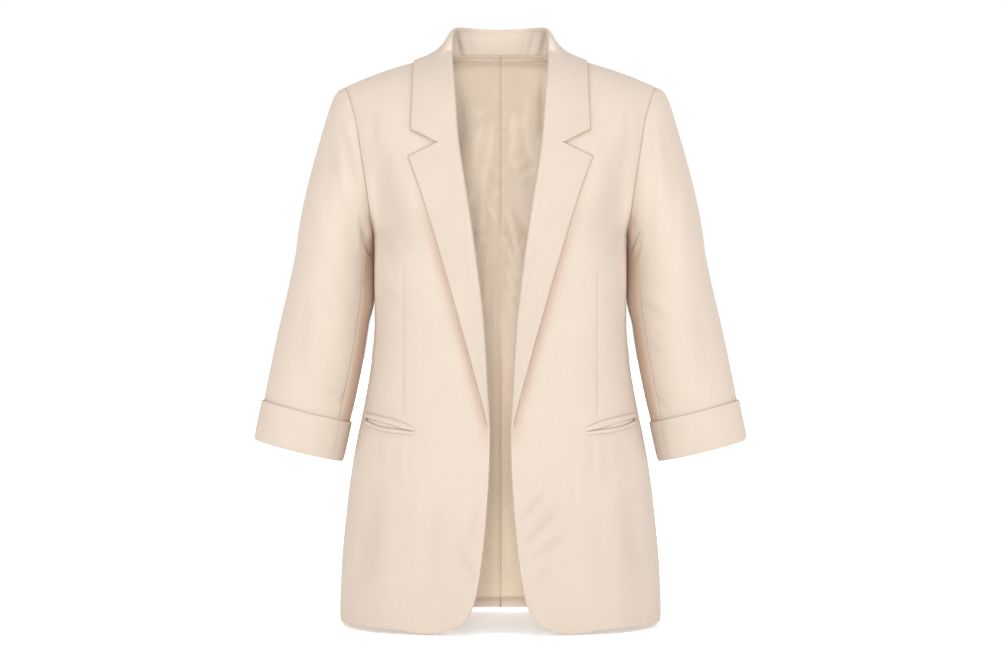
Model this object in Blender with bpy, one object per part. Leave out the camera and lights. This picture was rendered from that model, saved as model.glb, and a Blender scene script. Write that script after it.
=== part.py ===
# Open-front blazer with notched lapels and turned-back cuffs, hollow, as filled out with no wearer.
# Frame: +Z up, the front faces -Y, the wearer's left side is +X. The origin is the centre of the neck's
# base, level with the nape and in the plane of the shoulder seams. Lengths in the tables are millimetres.
import math
from collections import namedtuple

import bpy
import numpy as np

MM = 0.001
CLOTH = 1.5 * MM  # wall of the fronts, backs and sleeves
DOUBLED = 2.0 * MM  # wall of the collar, lapels and cuffs, two layers and their stiffening
LINING = 1.0 * MM
LINING_STAND = 0.8 * MM  # between a back and its lining
LINING_MARGIN = 3.0 * MM  # the lining stops this short of the armhole, side and shoulder seams
GAP = 0.3 * MM  # between pieces at a seam
GORGE_GAP = 0.3 * MM  # what the collar's end gives of the gap to the lapel
SHOULDER_CURVE = 1.19  # the shoulder line falls by this times x squared, in metres
HEM_STATION = 18
UNDERARM = 8  # the station where the armhole meets the side seam

# The body's form, by stations from the shoulder seam down to the hem. A station is a row round the body:
# its level at the centre, its half width, its depth in front and behind, how square its corners are, and
# how far it follows the slope of the shoulders.
Station = namedtuple("Station", "station level half_width depth square tilt")
FRONT = [
    Station(0, -2, 212, 0, 2.4, 1.00),
    Station(1, -6, 212, 20, 2.4, 1.00),
    Station(2, -15.5, 211, 40, 2.4, 1.00),
    Station(3, -35, 208, 62, 2.4, 0.98),
    Station(4, -62, 203, 80, 2.4, 0.85),
    Station(5, -100, 195, 98, 2.4, 0.65),
    Station(6, -145, 186, 111, 2.4, 0.35),
    Station(7, -192, 173, 118, 2.4, 0.12),
    Station(8, -240, 157.5, 121, 2.4, 0),
    Station(9, -290, 157.5, 118, 2.4, 0),
    Station(10, -340, 156.7, 113, 2.35, 0),
    Station(11, -390, 160.8, 110, 2.3, 0),
    Station(12, -440, 169.0, 111, 2.3, 0),
    Station(13, -490, 179.3, 114, 2.3, 0),
    Station(14, -540, 187.8, 116, 2.3, 0),
    Station(15, -590, 193.4, 118, 2.3, 0),
    Station(16, -640, 197.8, 119, 2.3, 0),
    Station(17, -690, 199.8, 119.5, 2.3, 0),
    Station(18, -711, 200.0, 119.5, 2.3, 0),
]
BACK = [
    Station(0, -2, 212, 0, 2.4, 1.00),
    Station(1, -1.2, 212, 20, 2.4, 1.08),
    Station(2, 0.8, 212, 42, 2.4, 1.34),
    Station(3, 2.6, 211, 64, 2.4, 1.66),
    Station(4, -6, 208, 83, 2.4, 1.85),
    Station(5, -45, 202, 98, 2.4, 1.45),
    Station(6, -105, 192, 108, 2.4, 0.80),
    Station(7, -172, 176, 110, 2.4, 0.25),
    Station(8, -240, 157.5, 106, 2.4, 0),
    Station(9, -290, 157.5, 98.5, 2.4, 0),
    Station(10, -340, 156.7, 91, 2.35, 0),
    Station(11, -390, 160.8, 88.5, 2.3, 0),
    Station(12, -440, 169.0, 92.5, 2.3, 0),
    Station(13, -490, 179.3, 100, 2.3, 0),
    Station(14, -540, 187.8, 106, 2.3, 0),
    Station(15, -590, 193.4, 110, 2.3, 0),
    Station(16, -640, 197.8, 113, 2.3, 0),
    Station(17, -690, 199.8, 115, 2.3, 0),
    Station(18, -711, 200.0, 115, 2.3, 0),
]

# Half widths of the armhole seam, front and back, at the stations above the underarm.
Armhole = namedtuple("Armhole", "station front back")
ARMHOLE = [
    Armhole(0, 194.5, 194.5),
    Armhole(1, 192.5, 193),
    Armhole(2, 188.5, 190),
    Armhole(3, 183, 186),
    Armhole(4, 177.5, 182),
    Armhole(5, 172.5, 178),
    Armhole(6, 167, 173),
    Armhole(7, 161.5, 166),
    Armhole(8, 157.5, 157.5),
]

# The neck seam on the body, by its share of the way round from the nape to the gorge, where the collar
# meets the lapel. A station below zero is on the back.
Neck = namedtuple("Neck", "along x station")
NECKLINE = [
    Neck(0.00, 0, -3.50),
    Neck(0.12, 20, -3.42),
    Neck(0.24, 38, -3.10),
    Neck(0.36, 53, -2.50),
    Neck(0.48, 65, -1.60),
    Neck(0.58, 73, -0.80),
    Neck(0.66, 77, 0.00),
    Neck(0.74, 76.5, 1.20),
    Neck(0.80, 74, 2.30),
    Neck(0.86, 69.5, 3.30),
    Neck(0.92, 63, 4.20),
    Neck(1.00, 52.7, 5.27),
]

# The lapel's roll line down to the break, and the open front edge below it with its rounded hem corner.
Edge = namedtuple("Edge", "x z")
ROLL_LINE = [
    Edge(50.4, -114.4),
    Edge(49, -127.5),
    Edge(38.5, -195),
    Edge(28, -267),
    Edge(18.6, -351),
    Edge(14.3, -434.5),
]
FRONT_EDGE = [
    Edge(13.2, -470),
    Edge(13.8, -512),
    Edge(16, -554),
    Edge(20, -602),
    Edge(26, -649.5),
    Edge(32.5, -679),
    Edge(43, -699),
    Edge(54, -706.5),
    Edge(74, -711),
]
BREAK_LEVEL = -434.5
ROLL_COVER = 2.3  # how far the front's edge stops short of the roll line, inside the lapel's fold
COVER_FADE = 14  # the height over the break in which that comes to nothing

# The lapel's outer edge, from its point down to the break.
LAPEL_EDGE = [
    Edge(110.5, -142),
    Edge(93.5, -188),
    Edge(78, -237),
    Edge(62.5, -287.5),
    Edge(44.5, -351),
    Edge(27.5, -417),
    Edge(19, -447),
]
LAPEL_TOP_ROLL, LAPEL_TOP_POINT = -114.4, -142
LAPEL_ROWS = 17
LAPEL_ROLL_RISE, LAPEL_EDGE_RISE = (3.0, 5.4), (1.9, 3.5)  # over the chest, at the gorge and at the break
ROLL_TURN = 4.0  # how far out from the roll line the lapel's turn ends
LAPEL_END = 0.95  # the share of the roll line that the lapel takes up before it dies into the front edge

# The collar from the nape round to the gorge: its fold in space, the fall's outer edge on the body, and
# how far the fall swells, or hollows towards the shoulder, between the two.
Collar = namedtuple("Collar", "along fold_x fold_y fold_z edge_x edge_station swell")
COLLAR = [
    Collar(0.00, 0, 71, 34, 0, -4.30, 1.5),
    Collar(0.12, 22, 69.5, 34.5, 30, -4.30, 1.2),
    Collar(0.24, 41, 61.5, 35, 56, -4.15, 0.5),
    Collar(0.36, 53, 46, 33.5, 79, -3.70, -1.0),
    Collar(0.48, 58.8, 27, 28, 94, -2.70, -3.5),
    Collar(0.58, 60.5, 8, 20.5, 102, -1.40, -4.5),
    Collar(0.66, 61, -10, 12, 105.5, -0.10, -4.0),
    Collar(0.74, 60.6, -29, 0, 106.5, 1.10, -2.0),
    Collar(0.80, 59.7, -45, -14, 107, 2.00, 0),
    Collar(0.86, 58, -65, -34, 107, 2.90, 1.2),
    Collar(0.92, 55.2, -84, -62, 106.8, 3.80, 1.6),
    Collar(1.00, 50.6, -105, -114, 106.4, 5.00, 1.6),
]
FOLD_RADIUS = 2.4  # of the collar's fold, at the middle of its wall
FALL_RISE = 2.2  # the fall's height over the cloth under it, at the middle of its wall
FALL_PARTS = (0, 0.2, 0.405, 0.6, 0.8, 1.0)  # the fall's points, from the fold to the outer edge
FALL_START = 7  # the first of them in a row of the collar
REST_START = 0.76  # how far round the fall comes to lie on the chest
NOTCH_START = 0.86  # how far round the collar starts to take on the shape of its end
NOTCH_PLACE, NOTCH_OUT = 0.405, 26.5  # the notch: its share of the fall, and its way out along the gorge
COLLAR_POINT = (108, -109)
# Over the roll line at the gorge: how far out from the line, and the rise over the chest.
Profile = namedtuple("Profile", "out rise")
GORGE_PROFILE = [
    Profile(1.0, -1.4),
    Profile(1.0, -0.7),
    Profile(1.0, 0.0),
    Profile(1.05, 0.8),
    Profile(1.3, 1.6),
    Profile(2.0, 2.4),
    Profile(3.4, 2.9),
]
FALL_OUT = 5.5  # how far out from the roll line the fall's first point lies at the gorge

# The sleeve's rings below the underarm, square to the arm: the centre, the half sizes, and the tilt.
Ring = namedtuple("Ring", "level centre_x centre_y half_width half_depth tilt")
SLEEVE = [
    Ring(-262, 207.3, 2, 49.0, 62, 11),
    Ring(-300, 212.0, 0, 51.8, 59.5, 11),
    Ring(-340, 218.6, -3, 54.4, 56, 11.5),
    Ring(-380, 226.0, -6, 55.6, 51.5, 12.5),
    Ring(-420, 234.2, -9, 55.8, 46, 13.5),
    Ring(-460, 242.6, -12, 54.8, 41, 14.3),
    Ring(-497, 250.3, -14, 54.4, 38, 13.8),
]
HEAD_LIFT, HEAD_RISE = 11.0, 7.0  # how full the sleeve head is, and how soon it fills out past the seam
CUFF_SIDES = 28
# The cuff's section, up its outside, round its fold and back between cuff and sleeve: the height over the
# sleeve's end, and how far it stands out from the sleeve's surface.
Turned = namedtuple("Turned", "height spread")
CUFF_SECTION = [
    Turned(46, 2.1),
    Turned(23, 2.9),
    Turned(0, 2.6),
    Turned(-2.1, 1.7),
    Turned(-3, 0.2),
    Turned(-2.1, -1.2),
    Turned(-0.4, -1.5),
    Turned(-0.4, 0.6),
    Turned(23, 0.8),
    Turned(46, 0.6),
]
FRONT_SEAM, BACK_SEAM = 11, 9  # ring points from the shoulder tip to the sleeve's two seams

# The slanted pocket mouth: its place along the mouth, from the front end to the side, and the lines of
# the two welts on the body.
Mouth = namedtuple("Mouth", "x upper_seam upper_edge lower_edge lower_seam gape")
POCKET = [
    Mouth(102, -467, -471.5, -472.5, -476.5, 0.2),
    Mouth(112, -463, -469.5, -471.8, -476.3, 0.8),
    Mouth(122, -460, -467.8, -470.9, -475.8, 1.6),
    Mouth(134, -457.5, -465.5, -469.6, -474.6, 2.2),
    Mouth(147, -455.6, -462.8, -468, -472.8, 2.2),
    Mouth(158, -454, -460, -465.5, -470.5, 1.6),
    Mouth(166.5, -453, -457.5, -462.5, -467.5, 0.8),
]
WELT = 1.2 * MM
WELT_RISE, WELT_SWELL, WELT_COLUMNS = 1.1, 0.7, 13

# Broad soft folds of the hanging cloth, on the body's own surface: from, to, height, and half breadth.
Fold = namedtuple("Fold", "back x0 z0 x1 z1 height breadth")
BODY_FOLDS = [
    Fold(False, 128, -520, 150, -760, 2.6, 20),
    Fold(False, 62, -480, 84, -760, -2.0, 22),
    Fold(True, 58, -450, 72, -760, 3.0, 22),
    Fold(True, 118, -430, 142, -760, -3.0, 22),
    Fold(True, 60, -330, 128, -372, -2.2, 16),
]
# Diagonal folds of the sleeves: ring number and turn round the arm at each end.
SleeveFold = namedtuple("SleeveFold", "ring0 turn0 ring1 turn1 depth breadth")
SLEEVE_FOLDS = [
    SleeveFold(2.2, 62, 5.6, 96, 2.6, 9),
    SleeveFold(4.0, 38, 6.6, 70, 1.8, 8),
    SleeveFold(3.0, 262, 6.4, 224, 2.6, 9),
    SleeveFold(9.6, 128, 11.4, 84, 1.6, 8),
    SleeveFold(11.6, 232, 12.6, 276, 1.8, 8),
]


def smooth(places, values, place):
    """Reads a smooth curve through the values, one that never overshoots them."""
    places, values = np.asarray(places, float), np.asarray(values, float)
    steps, secants = np.diff(places), np.diff(values) / np.diff(places)
    same_way = secants[:-1] * secants[1:] > 0
    total = np.where(same_way, secants[:-1] + secants[1:], 1)
    middle = np.where(same_way, 2 * secants[:-1] * secants[1:] / total, 0)
    slopes = np.concatenate([secants[:1], middle, secants[-1:]])
    place = min(max(place, places[0]), places[-1])
    i = min(int(np.searchsorted(places, place, side="right")) - 1, len(steps) - 1)
    t = (place - places[i]) / steps[i]
    start, end = slopes[i] * steps[i], slopes[i + 1] * steps[i]
    rise = values[i + 1] - values[i]
    return float(values[i] + t * (start + t * (3 * rise - 2 * start - end + t * (start + end - 2 * rise))))


def column(rows, name):
    return [getattr(row, name) for row in rows]


def read(rows, key, name, place):
    return smooth(column(rows, key), column(rows, name), place)


def read_down(edges, z):
    """Reads an edge's x at a height, in millimetres."""
    return smooth([-edge.z for edge in edges], column(edges, "x"), -z)


def unit(vector):
    return vector / max(np.linalg.norm(vector), 1e-12)


def away_from_line(x, z, x0, z0, x1, z1):
    """The distance from a line in the plane, and the share of the line at the nearest point."""
    along_x, along_z = x1 - x0, z1 - z0
    share = ((x - x0) * along_x + (z - z0) * along_z) / (along_x**2 + along_z**2)
    nearest = min(max(share, 0), 1)
    return math.hypot(x - x0 - nearest * along_x, z - z0 - nearest * along_z), nearest


def fold_height(back, x, z):
    """The hanging cloth's soft folds at a place on the body, in millimetres."""
    height = 0
    for fold in BODY_FOLDS:
        if fold.back == back:
            away, share = away_from_line(x, z, fold.x0, fold.z0, fold.x1, fold.z1)
            grow = math.sin(min(share * 1.6, 1) * math.pi / 2)
            height += fold.height * grow * math.exp(-((away / fold.breadth) ** 2))
    return height


def body(around, station):
    """A point of the body's outer surface: degrees from the centre front, and a station. Stations below
    zero carry on over the shoulder seam to the other half, and angles past the centres are mirrored."""
    if station < 0:
        return body(180 - around, -station)
    side = 1
    if around < 0:
        side, around = -1, -around
    if around > 180:
        side, around = -1, 360 - around
    back = around > 90
    rows, way, turn = (BACK, 1, 180 - around) if back else (FRONT, -1, around)
    level, half_width, depth, square, tilt = (
        read(rows, "station", name, station) for name in ("level", "half_width", "depth", "square", "tilt")
    )
    power = 2 / square
    x = half_width * math.sin(math.radians(turn)) ** power
    y = way * depth * max(math.cos(math.radians(turn)), 0) ** power
    z = level - tilt * SHOULDER_CURVE * MM * x * x
    out = fold_height(back, x, z) * unit(np.array([x / half_width**2, y / max(depth, 1) ** 2]))
    return np.array([side * (x + out[0]), y + out[1], z]) * MM


def body_normal(around, station):
    across = body(around + 0.3, station) - body(around - 0.3, station)
    down = body(around, station + 0.03) - body(around, station - 0.03)
    return unit(np.cross(down, across))


def turn_at(rows, x, station):
    """The angle on the body at which a station's row reaches a half width."""
    half_width, square = (read(rows, "station", name, station) for name in ("half_width", "square"))
    return math.degrees(math.asin(min(abs(x) / half_width, 1) ** (square / 2)))


def place_on_front(x, z):
    """The angle and station of a place on the front, seen square on, in millimetres."""
    stations = np.linspace(0, HEM_STATION, 181)
    levels = [
        read(FRONT, "station", "level", s) - read(FRONT, "station", "tilt", s) * SHOULDER_CURVE * MM * x * x
        for s in stations
    ]
    station = float(np.interp(-z, -np.array(levels), stations))
    return turn_at(FRONT, x, station), station


def on_front(x, z, rise):
    """A point over the front, seen square on at x and z, raised off its surface; all in millimetres."""
    around, station = place_on_front(abs(x), z)
    return body(around, station) + rise * MM * body_normal(around, station)


def signed_place(x, station):
    """The angle of a place by its half width, on the front, or on the back for a station below zero."""
    if station < 0:
        return 180 - turn_at(BACK, x, -station), -station
    return turn_at(FRONT, x, station), station


def even_stations(which, count):
    """Stations from the shoulder tip to the underarm at even steps along the armhole seam."""
    fine = np.linspace(0, UNDERARM, 241)
    points = np.array([armhole(which, s) for s in fine])
    lengths = np.concatenate([[0], np.cumsum(np.linalg.norm(np.diff(points, axis=0), axis=1))])
    return np.interp(np.linspace(0, lengths[-1], count + 1), lengths, fine)


def armhole_turn(which, station):
    rows = FRONT if which == "front" else BACK
    turn = turn_at(rows, read(ARMHOLE, "station", which, station), station)
    if station >= UNDERARM:
        turn = 90
    return turn if which == "front" else 180 - turn


def armhole(which, station):
    return body(armhole_turn(which, station), station)


ARMHOLE_STEPS = 14
CAP_RINGS, ARM_RINGS = 9, 9
LOWER_STATIONS = [8.8, 9.6, 10.4, 11.1, 11.6, 11.9, 12.9, 13.8, 14.8, 15.8, 16.5, 17.1, 17.5, 17.8, 18]
# Places along the neck seam where rows of the panels and of the collar meet.
BACK_NECK_PLACES = [0.66, 0.57, 0.48, 0.39, 0.29, 0.16, 0]
FRONT_NECK_PLACES = [0.66, 0.71, 0.76, 0.8, 0.84, 0.88, 0.92, 0.96, 1]
LINING_ROWS_SHORT = 2  # how many rows above the hem the lining ends


def pull_in(grid, edge, distance):
    """Moves one edge of a grid of points into the piece, square to the seam."""
    lines = {"top": (0, 1), "bottom": (-1, -2)}
    turned = edge in ("left", "right")
    work = grid.transpose(1, 0, 2) if turned else grid
    first, second = lines["top" if edge in ("top", "left") else "bottom"]
    line, inner = work[first].copy(), work[second]
    for i in range(len(line)):
        seam = unit(line[min(i + 1, len(line) - 1)] - line[max(i - 1, 0)])
        inward = inner[i] - line[i]
        work[first][i] = line[i] + distance * unit(inward - inward.dot(seam) * seam)
    return grid


def grid_normals(grid, closed=False):
    """Normals of a grid of points, by the differences between neighbours."""
    rows, columns = grid.shape[:2]
    normals = np.zeros_like(grid)
    for i in range(rows):
        for j in range(columns):
            down = grid[min(i + 1, rows - 1), j] - grid[max(i - 1, 0), j]
            if closed:
                across = grid[i, (j + 1) % columns] - grid[i, (j - 1) % columns]
            else:
                across = grid[i, min(j + 1, columns - 1)] - grid[i, max(j - 1, 0)]
            normals[i, j] = unit(np.cross(down, across))
    return normals


def material(name, colour, roughness):
    """A cloth finish."""
    finish = bpy.data.materials.new(name)
    finish.use_nodes = True
    shader = finish.node_tree.nodes["Principled BSDF"]
    shader.inputs["Base Color"].default_value = (*colour, 1)
    shader.inputs["Roughness"].default_value = roughness
    shader.inputs["Metallic"].default_value = 0
    return finish


def add_mesh(name, points, faces, finish):
    mesh = bpy.data.meshes.new(name)
    mesh.from_pydata([tuple(point) for point in points], [], faces)
    mesh.materials.append(finish)
    mesh.shade_smooth()
    mesh.set_sharp_from_angle(angle=math.radians(40))
    piece = bpy.data.objects.new(name, mesh)
    bpy.context.collection.objects.link(piece)
    return piece


def mirrored(grid):
    return grid * np.array([-1, 1, 1])


def add_wall(name, outer, inner, finish):
    """A wall of cloth between two grids of points, closed along its four edges. Both sides have the same
    diagonals, so that walls laid on one another stay apart."""
    rows, columns = outer.shape[:2]
    count = rows * columns
    points = np.concatenate([outer.reshape(-1, 3), inner.reshape(-1, 3)])
    faces = []
    for i in range(rows - 1):
        for j in range(columns - 1):
            a, b = i * columns + j, i * columns + j + 1
            c, d = b + columns, a + columns
            for first, second, third in ((a, b, c), (a, c, d)):
                faces += [(first, second, third), (count + third, count + second, count + first)]
    rim = [(0, j) for j in range(columns)] + [(i, columns - 1) for i in range(1, rows)]
    rim += [(rows - 1, j) for j in range(columns - 2, -1, -1)] + [(i, 0) for i in range(rows - 2, 0, -1)]
    for (i, j), (k, m) in zip(rim, rim[1:] + rim[:1]):
        a, b = i * columns + j, k * columns + m
        if a < b:
            faces += [(a, count + a, count + b), (a, count + b, b)]
        else:
            faces += [(a, count + a, b), (count + a, count + b, b)]
    volume = signed_volume(points, faces)
    if volume < 0:
        faces = [face[::-1] for face in faces]
    return add_mesh(name, points, faces, finish)


def signed_volume(points, faces):
    total = 0
    for face in faces:
        for second, third in zip(face[1:], face[2:]):
            total += np.dot(points[face[0]], np.cross(points[second], points[third]))
    return total / 6


def add_pair(name, outer, inner, finish):
    """The same wall on both sides of the body; the wearer's left is +X."""
    add_wall(name + "_left", outer, inner, finish)
    add_wall(name + "_right", mirrored(outer), mirrored(inner), finish)


def front_edge_x(z):
    """The front's inner edge below the gorge, at a height, in millimetres."""
    if z > BREAK_LEVEL:
        return read_down(ROLL_LINE, z) + ROLL_COVER * min((z - BREAK_LEVEL) / COVER_FADE, 1)
    return read_down(ROLL_LINE[-1:] + FRONT_EDGE, z)


def inner_turn(which, station):
    """The angle at which a station's row meets the neck seam, and below it the front edge or the centre
    back."""
    if which == "back":
        if station >= -NECKLINE[0].station:
            return 180
        return 180 - turn_at(BACK, read(NECKLINE, "station", "x", -station), station)
    if station <= NECKLINE[-1].station:
        return turn_at(FRONT, read(NECKLINE, "station", "x", station), station)
    level, tilt = (read(FRONT, "station", name, station) for name in ("level", "tilt"))
    x = 0
    for _ in range(6):
        x = front_edge_x(level - tilt * SHOULDER_CURVE * MM * x * x)
    return turn_at(FRONT, x, station)


def inner_stations(which):
    """Stations of the rows' inner ends, down the neck seam and on to the underarm's level."""
    places = BACK_NECK_PLACES if which == "back" else FRONT_NECK_PLACES
    neck = [abs(read(NECKLINE, "along", "station", place)) for place in places]
    return neck + list(np.linspace(neck[-1], UNDERARM, ARMHOLE_STEPS + 2 - len(neck))[1:])


def panel(which, columns):
    """A front's or a back's grid of points and normals, from its inner edge to the armhole and the side
    seam."""
    outer_stations = list(even_stations(which, ARMHOLE_STEPS)) + LOWER_STATIONS
    points, normals = [], []
    for first, last in zip(inner_stations(which) + LOWER_STATIONS, outer_stations):
        outer_turn = armhole_turn(which, last) if last < UNDERARM else 90
        turns = np.linspace(inner_turn(which, first), outer_turn, columns + 1)
        stations = np.linspace(first, last, columns + 1)
        points.append([body(turn, station) for turn, station in zip(turns, stations)])
        normals.append([body_normal(turn, station) for turn, station in zip(turns, stations)])
    return np.array(points), np.array(normals)


def sleeve_net():
    """The whole sleeve on the wearer's left, as rings of points from the armhole down to the cuff's fold.
    A ring starts at the shoulder tip, goes down the front to the underarm and up the back."""
    front = even_stations("front", ARMHOLE_STEPS)
    back = even_stations("back", ARMHOLE_STEPS)
    seam = [armhole("front", s) for s in front] + [armhole("back", s) for s in back[-2:0:-1]]
    turns = [180 * i / ARMHOLE_STEPS for i in range(2 * ARMHOLE_STEPS)]
    rings = []
    for share in np.linspace(0, 1, CAP_RINGS):
        rings.append([cap_point(start, turn, share) for start, turn in zip(seam, turns)])
    for level in np.linspace(SLEEVE[0].level, SLEEVE[-1].level, ARM_RINGS)[1:]:
        rings.append([ring_point(level, turn) for turn in turns])
    rings = np.array(rings)
    normals = grid_normals(rings, closed=True)
    for i in range(rings.shape[0]):
        for j in range(rings.shape[1]):
            rings[i, j] -= sleeve_fold_depth(i, turns[j]) * MM * normals[i, j]
    return rings


def ring_point(level, turn, spread=0.0):
    """A point of the sleeve's ring at a level; the turn starts on the outside and goes round the front."""
    names = ("centre_x", "centre_y", "half_width", "half_depth", "tilt")
    levels = [-ring.level for ring in SLEEVE]
    x, y, half_width, half_depth, tilt = (smooth(levels, column(SLEEVE, name), -level) for name in names)
    across = (half_width + spread) * math.cos(math.radians(turn))
    lean = math.radians(tilt)
    forward = (half_depth + spread) * math.sin(math.radians(turn))
    return np.array([x + across * math.cos(lean), y - forward, level + across * math.sin(lean)]) * MM


def cap_point(start, turn, share):
    """A point on the way from the armhole seam to the first full ring, with the fullness of the head."""
    top = SLEEVE[0]
    end = ring_point(top.level, turn)
    ahead = ring_point(top.level - 10, turn) - end
    reach = np.linalg.norm(end - start)
    leave = unit(end - start + np.array([0.25, 0, 0]) * reach * max(-math.cos(math.radians(turn)), 0)) * reach
    arrive = unit(ahead) * reach
    t = share
    point = (
        (2 * t**3 - 3 * t**2 + 1) * start
        + (t**3 - 2 * t**2 + t) * leave
        + (3 * t**2 - 2 * t**3) * end
        + (t**3 - t**2) * arrive
    )
    fullness = (0.5 + 0.5 * math.cos(math.radians(turn))) ** 0.8
    lift = HEAD_LIFT * fullness * (1 - math.exp(-share * reach / MM / HEAD_RISE)) * (1 - share**2)
    outward = np.array([math.cos(math.radians(turn)), -0.7 * math.sin(math.radians(turn)), 0.3])
    return point + lift * MM * unit(outward)


def sleeve_fold_depth(ring, turn):
    depth = 0
    for fold in SLEEVE_FOLDS:
        away, share = away_from_line(
            ring * 20, turn, fold.ring0 * 20, fold.turn0, fold.ring1 * 20, fold.turn1
        )
        grow = math.sin(math.pi * (0.15 + 0.7 * share))
        depth += fold.depth * grow * math.exp(-((away / (fold.breadth * 1.6)) ** 2))
    return depth


def build_sleeves(finish, seam_normals):
    rings = sleeve_net()
    normals = grid_normals(rings, closed=True)
    if np.dot(normals[12, 0], [1, 0, 0]) < 0:
        normals = -normals
    normals[0] = [unit(normal + seam) for normal, seam in zip(normals[0], seam_normals)]
    around = rings.shape[1]
    under = list(range(FRONT_SEAM, around - BACK_SEAM + 1))
    top = list(range(around - BACK_SEAM, around + FRONT_SEAM + 1))
    for name, picks in (("top_sleeve", top), ("under_sleeve", under)):
        picks = [pick % around for pick in picks]
        outer = rings[:, picks].copy()
        inner = outer - CLOTH * normals[:, picks]
        for edge in ("left", "right", "top"):
            outer, inner = pull_in(outer, edge, GAP / 2), pull_in(inner, edge, GAP / 2)
        add_pair(name, outer, inner, finish)


def build_cuffs(finish):
    """Each cuff is turned up outside the sleeve and folds round its end."""
    end, turns = SLEEVE[-1].level, np.linspace(0, 360, CUFF_SIDES, endpoint=False)
    points = np.array(
        [
            [ring_point(end + place.height, turn, place.spread) for turn in turns]
            for place in CUFF_SECTION
        ]
    )
    rows, columns = points.shape[:2]
    faces = []
    for i in range(rows):
        for j in range(columns):
            a, b = i * columns + j, i * columns + (j + 1) % columns
            c, d = (i + 1) % rows * columns + (j + 1) % columns, (i + 1) % rows * columns + j
            faces.append((a, b, c, d))
    for name, net in (("cuff_left", points), ("cuff_right", mirrored(points))):
        flat = net.reshape(-1, 3)
        facing = faces if signed_volume(flat, faces) > 0 else [face[::-1] for face in faces]
        add_mesh(name, flat, facing, finish)


def build_body(shell, lining):
    front, front_normals = panel("front", 12)
    back, back_normals = panel("back", 9)
    build_lining(back, back_normals, lining)
    steps = ARMHOLE_STEPS + 1
    seam = list(front_normals[:steps, -1]) + list(back_normals[steps - 2 : 0 : -1, -1])
    sleeve_side = sleeve_seam_normals()
    blended = [unit(one + other) for one, other in zip(seam, sleeve_side)]
    front_normals[:steps, -1] = blended[:steps]
    back_normals[1:steps, -1] = blended[ARMHOLE_STEPS:][::-1][-ARMHOLE_STEPS:]
    back_normals[0, -1] = blended[0]
    for name, outer, normals in (("front", front, front_normals), ("back", back, back_normals)):
        inner = outer - CLOTH * normals
        for edge in ("top", "right") if name == "front" else ("top", "right", "left"):
            outer, inner = pull_in(outer, edge, GAP / 2), pull_in(inner, edge, GAP / 2)
        add_pair(name, outer, inner, shell)
    return seam


def sleeve_seam_normals():
    normals = grid_normals(sleeve_net(), closed=True)
    return normals[0] if np.dot(normals[12, 0], [1, 0, 0]) > 0 else -normals[0]


def build_lining(back, normals, finish):
    """The back's lining hangs just inside it, from the neck seam to a little above the hem."""
    near, far = CLOTH + LINING_STAND, CLOTH + LINING_STAND + LINING
    outer = back[:-LINING_ROWS_SHORT] - near * normals[:-LINING_ROWS_SHORT]
    inner = back[:-LINING_ROWS_SHORT] - far * normals[:-LINING_ROWS_SHORT]
    for edge in ("left", "top", "right"):
        margin = GAP / 2 if edge == "left" else LINING_MARGIN
        outer, inner = pull_in(outer, edge, margin), pull_in(inner, edge, margin)
    add_pair("lining_back", outer, inner, finish)


def build_lapels(finish):
    """Each lapel turns over at the roll line and lies on its front, from the gorge to the break."""
    rows = []
    for share in np.linspace(0, LAPEL_END, LAPEL_ROWS):
        roll_z = LAPEL_TOP_ROLL + share * (BREAK_LEVEL - LAPEL_TOP_ROLL)
        point_z = LAPEL_TOP_POINT + share * (LAPEL_EDGE[-1].z - LAPEL_TOP_POINT)
        roll_x, edge_x = read_down(ROLL_LINE, roll_z), read_down(LAPEL_EDGE, point_z)
        width = math.hypot(edge_x - roll_x, point_z - roll_z)
        roll_rise, edge_rise = (np.interp(share, (0, 1), ends) for ends in (LAPEL_ROLL_RISE, LAPEL_EDGE_RISE))
        profile = [(1.0, -1.4), (1.0, 0.4 * roll_rise), (1.9, 0.8 * roll_rise), (ROLL_TURN, roll_rise)]
        for step in (0.2, 0.4, 0.6, 0.8, 1.0):
            spread = ROLL_TURN + (width - ROLL_TURN) * step
            profile.append((spread, edge_rise + (roll_rise - edge_rise) * (1 - step) ** 2))
        row = []
        for out, rise in profile:
            part = out / width
            x, z = roll_x + part * (edge_x - roll_x), roll_z + part * (point_z - roll_z)
            row.append(on_front(x, z, rise))
        rows.append(row)
    middle = pull_in(np.array(rows), "top", GAP / 2)
    normals = grid_normals(middle)
    add_pair("lapel", middle + DOUBLED / 2 * normals, middle - DOUBLED / 2 * normals, finish)


def collar_fold(place):
    return np.array([read(COLLAR, "along", name, place) for name in ("fold_x", "fold_y", "fold_z")]) * MM


def square_to(line, vector):
    return unit(vector - vector.dot(line) * line)


def collar_row(along):
    """The collar's section at one place: up the stand, over the fold and down the fall. Towards its end it
    takes on the shape of the gorge."""
    side = 1 if along >= 0 else -1
    place = abs(along)
    row = collar_section(place)
    share = max(place - NOTCH_START, 0) / (1 - NOTCH_START)
    row = row + share**2 * (gorge_row() - collar_section(1))
    row[FALL_START:] = [rest_on_front(point, place) for point in row[FALL_START:]]
    return row * np.array([side, 1, 1])


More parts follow.
